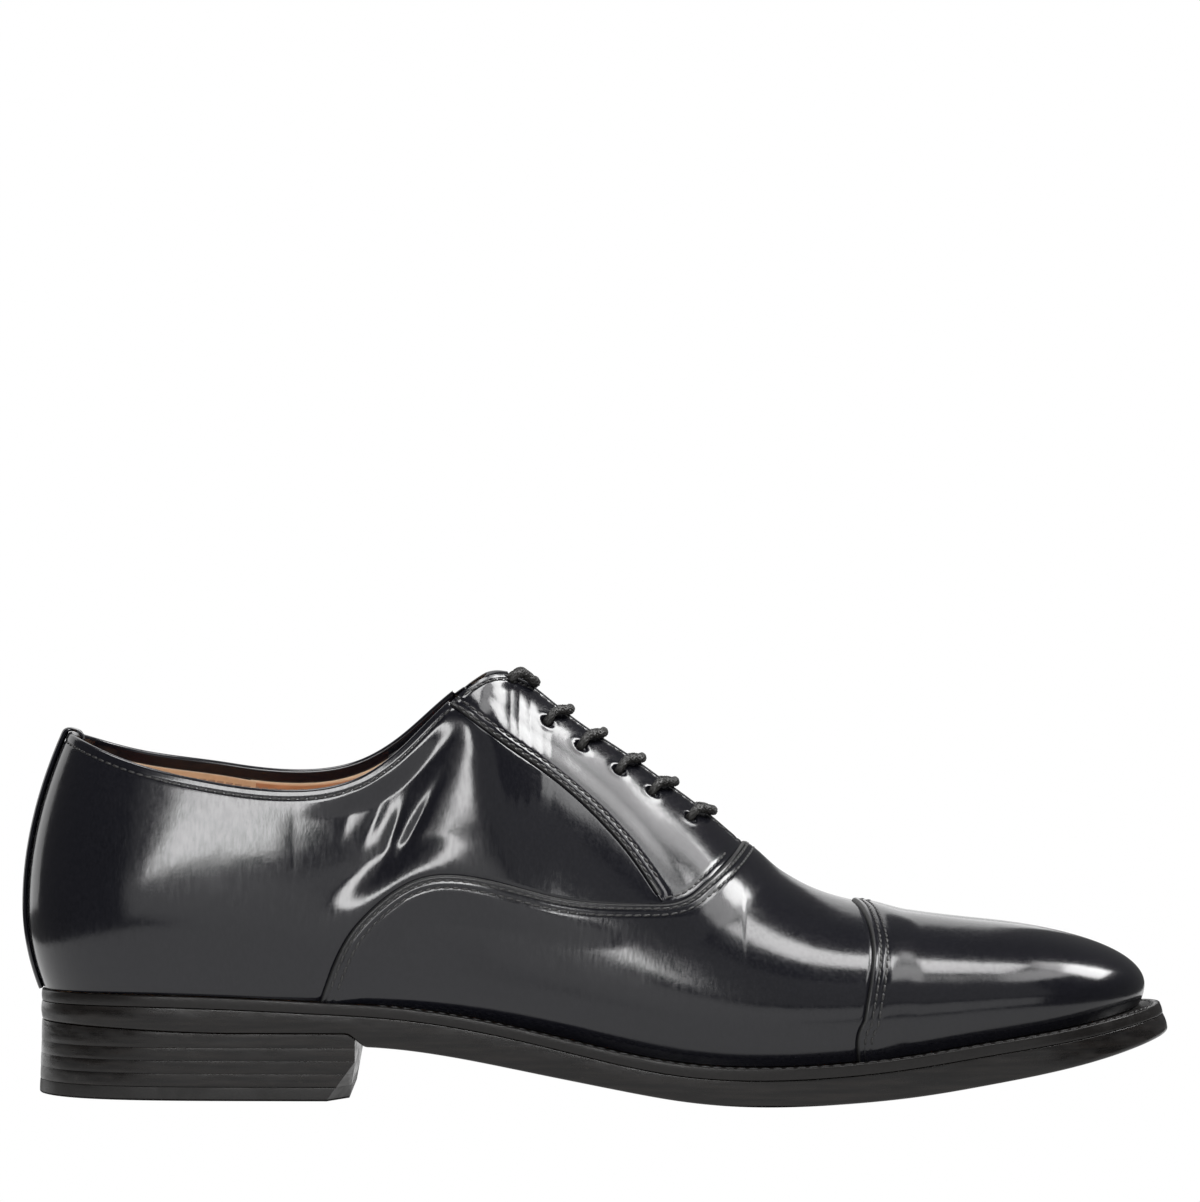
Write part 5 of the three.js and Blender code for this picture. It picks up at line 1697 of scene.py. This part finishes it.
def add_lace():
    route = lace_route()
    piece("lace_braid", lace_mesh(), LACE_COTTON, "root", ["shoelace"])
    for side, before, end in ((LATERAL, route[1], route[0]), (MEDIAL, route[-2], route[-1])):
        name = f"aglet_{SIDE_NAMES[side]}"
        piece(f"{name}_end", aglet_mesh(name, before, end), PLASTIC, "root", [name])


def sew(name, rows, material, body, slot, **size):
    """One piece holding the threads of several rows."""
    stacks = [loop for line, normal in rows for loop in stitches(line, normal, **size)]
    piece(name, loops_mesh(name, stacks), material, body)


def add_stitches(vamp, cap, quarters, facings):
    seam = np.vstack([VAMP_LINES[LATERAL], VAMP_LINES[MEDIAL][::-1]])
    ahead = np.array([0.6, 0, -1.0])
    sew("vamp_stitching", [stitch_line(vamp, seam[3:-3], row, ahead) for row in VAMP_ROWS],
        THREAD_BLACK, FLEX, "upper_leather")
    low = int(len(CAP_HEIGHTS) * 0.2)
    sew("toe_cap_stitching", [stitch_line(cap, CAP_LINE[low:-low], row, np.array([1.0, 0, 0])) for row in CAP_ROWS],
        THREAD_BLACK, "forefoot", "upper_leather")
    upward = np.array([0.4, 0, 1.0])
    for side in BOTH_SIDES:
        name = SIDE_NAMES[side]
        rows = [stitch_line([facings[side]], FACING_LINES[side][3:-4], row, upward) for row in FACING_ROWS]
        throat = VAMP_LINES[side][station_of(VAMP_LINES[side][:, 0]) > 56.8]
        rows.append(stitch_line([facings[side]], throat[:-6], THROAT_ROW, -ahead))
        stations = station_of(TOP_LINES[side][:, 0])
        ridge = TOP_LINES[side][(stations > 38.6) & (stations < 62.6)]
        rows.append(stitch_line([facings[side]], ridge, RIDGE_ROW, np.array([0, side, -1.0])))
        sew(f"facing_{name}_stitching", rows, THREAD_BLACK, "root", "upper_leather")
        top = TOP_LINES[side][(stations < 37.6) & (np.arange(len(stations)) > 10)]
        sew(f"quarter_{name}_stitching", [stitch_line([quarters[side]], top, TOP_LINE_ROW, np.array([0, 0, -1.0]))],
            THREAD_BLACK, "root", "upper_leather")
        sew(f"lining_{name}_stitching", [lining_row(side)], THREAD_TAN, "root", "lining_leather")
    sew("back_strip_stitching", strip_rows(), THREAD_BLACK, "root", "upper_leather", pitch=2.0, half_width=0.22)
    sew("welt_stitching", [welt_row()], THREAD_BLACK, FLEX, "welt_leather", pitch=3.1, half_width=0.42)


def lining_row(side):
    """The row through the lining under the turned-in topline, seen from inside."""
    s = np.linspace(1.5, 41, 260)
    height = height_below_top(s, side, FOLD_HEIGHT + 1.3)
    heel = 1 - smooth(HEEL_LINING_END, HEEL_LINING_END + 0.8, s)
    depth = STIFF_DEPTH + LINING - 0.12 + 0.45 * heel * smooth(HEEL_LINING_END - 2, HEEL_LINING_END, s)
    return under(s, side, height, depth), -upper_normal(s, side, height)


def strip_rows():
    along = np.linspace(-0.9, 0.985, 160)
    rows = []
    for across in (-0.66, 0.66):
        share = np.full(along.shape, across)
        normal = strip_normal(along, share)
        rows.append((strip_point(along, share) - normal * 0.16, normal))
    return rows


def welt_row():
    stations = np.concatenate([np.linspace(31.5, 84, 300), toe_stations(84.2, 60)])
    left, right = (edge_point(stations, side, reach(stations) - WELT_ROW) for side in BOTH_SIDES)
    line = resampled(np.vstack([left, right[::-1]]), 0.8)
    line[:, 2] = sole_top(station_of(line[:, 0])) - 0.2
    return line, np.broadcast_to([0.0, 0, 1], line.shape)


add_sole()
add_stitches(*add_leather())
add_linings()
add_tongue()
add_lace()

HIDDEN = {
    "heel_counter": pressed_board(),
    "toe_puff": None,
    "shank": rolled_steel(),
    "heel_nail": None,
    "eyelet": painted_brass(),
}
HIDDEN["toe_puff"] = HIDDEN["heel_counter"]
HIDDEN["heel_nail"] = HIDDEN["shank"]
for name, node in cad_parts.items():
    for start, finish in HIDDEN.items():
        if name.startswith(start):
            node.data.materials.clear()
            node.data.materials.append(finish)

# ---------------------------------------------------------------- stage, light and camera
CAMERA_DISTANCE = 1.8
CAMERA_HEIGHT = 0.165
FRAME_WIDTH = 0.3198
AIM = Vector((0.0011, 0, 0.1305))


def glow(name, strength):
    made = bpy.data.materials.new(name)
    made.use_nodes = True
    nodes = made.node_tree.nodes
    nodes.remove(nodes["Principled BSDF"])
    light = nodes.new("ShaderNodeEmission")
    light.inputs["Strength"].default_value = strength
    made.node_tree.links.new(light.outputs[0], nodes["Material Output"].inputs["Surface"])
    return made


def sheet_of_stage(name, corners, strength):
    mesh = bpy.data.meshes.new(name)
    mesh.from_pydata(corners, [], [tuple(range(len(corners)))])
    mesh.materials.append(glow(name, strength))
    made = bpy.data.objects.new(name, mesh)
    bpy.context.scene.collection.objects.link(made)
    made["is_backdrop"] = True
    return made


def towards(origin, azimuth, elevation, distance=1.7):
    """A place seen from a point of the shoe at an azimuth (0 to the camera, 90 to the right) and an elevation."""
    a, e = math.radians(azimuth), math.radians(elevation)
    level = distance * math.cos(e)
    return (origin[0] + level * math.sin(a), origin[1] - level * math.cos(a), origin[2] + distance * math.sin(e))


def card(name, corners, strength):
    """A lit card that the shoe reflects and the camera doesn't see."""
    made = sheet_of_stage(name, corners, strength)
    made.visible_camera = False
    return made


def card_from(name, origin, directions, strength):
    """A card whose corners are seen from a point of the shoe in given directions."""
    return card(name, [towards(origin, *direction) for direction in directions], strength)


def add_stage():
    far = 6.0
    floor = sheet_of_stage("floor", [(-far, -far, 0), (far, -far, 0), (far, far, 0), (-far, far, 0)], 1.0)
    floor.visible_glossy = False
    floor.visible_diffuse = False
    left, right, near, behind = -0.30, 0.24, -1.3, 0.55
    card("table", [(left, near, 0.0005), (right, near, 0.0005), (right, behind, 0.0005), (left, behind, 0.0005)], 1.0)
    card("backdrop", [(-0.9, behind, 0), (0.18, behind, 0), (0.18, behind, 0.7), (-0.9, behind, 0.7)], 1.1)
    middle = (0, -0.03, 0.06)
    card_from("front_card", middle, [(-34, -2), (48, -2), (48, 14), (-34, 12)], 1.05)
    card_from("dim_front", middle, [(-34, 14), (55, 16), (55, 50), (-28, 44)], 0.4)
    quarter_y = -0.485
    outline = [(-0.315, 0.155), (-0.058, 0.245), (-0.058, 0.46), (-0.13, 0.46), (-0.19, 0.31)]
    card("quarter_light", [(x, quarter_y, z) for x, z in outline], 15.0)
    facing = (0.0, -0.02, 0.09)
    card_from("rear_light", facing, [(98, 31), (124, 31), (126, 52), (97, 52)], 15.0)
    card_from("rear_light_top", facing, [(97, 53), (126, 53), (122, 61), (96, 61)], 6.0)
    card_from("side_fill", facing, [(42, 46), (94, 46), (94, 61), (50, 61)], 4.5)
    vamp = (0.05, -0.02, 0.06)
    card_from("overhead_light", vamp, [(60, 65), (112, 65), (118, 79), (42, 79)], 12.0)
    card("top_fill", [(-0.6, -0.25, 1.5), (-0.1, -0.25, 1.5), (-0.1, 0.35, 1.5), (-0.6, 0.35, 1.5)], 10.0)
    world = bpy.data.worlds.new("studio")
    bpy.context.scene.world = world
    world.use_nodes = True
    nodes, links = world.node_tree.nodes, world.node_tree.links
    seen = nodes.new("ShaderNodeLightPath").outputs["Is Camera Ray"]
    room = nodes.new("ShaderNodeMapRange")
    room.inputs["To Min"].default_value = 0.1
    links.new(seen, room.inputs["Value"])
    links.new(room.outputs["Result"], nodes["Background"].inputs["Strength"])
    nodes["Background"].inputs["Color"].default_value = (1, 1, 1, 1)


def add_camera():
    camera = bpy.data.cameras.new("camera")
    camera.sensor_fit = "HORIZONTAL"
    camera.sensor_width = 36
    camera.lens = camera.sensor_width * CAMERA_DISTANCE / FRAME_WIDTH
    camera.clip_end = 20
    made = bpy.data.objects.new("camera", camera)
    made.location = (AIM.x, -CAMERA_DISTANCE, CAMERA_HEIGHT)
    made.rotation_euler = (AIM - made.location).to_track_quat("-Z", "Y").to_euler()
    bpy.context.scene.collection.objects.link(made)
    bpy.context.scene.camera = made


add_stage()
add_camera()
bpy.context.scene.view_settings.view_transform = "Standard"
low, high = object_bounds()
sizes = {"cad": [list(CAD_LOW), list(CAD_HIGH)], "shown": [list(low), list(high)]}
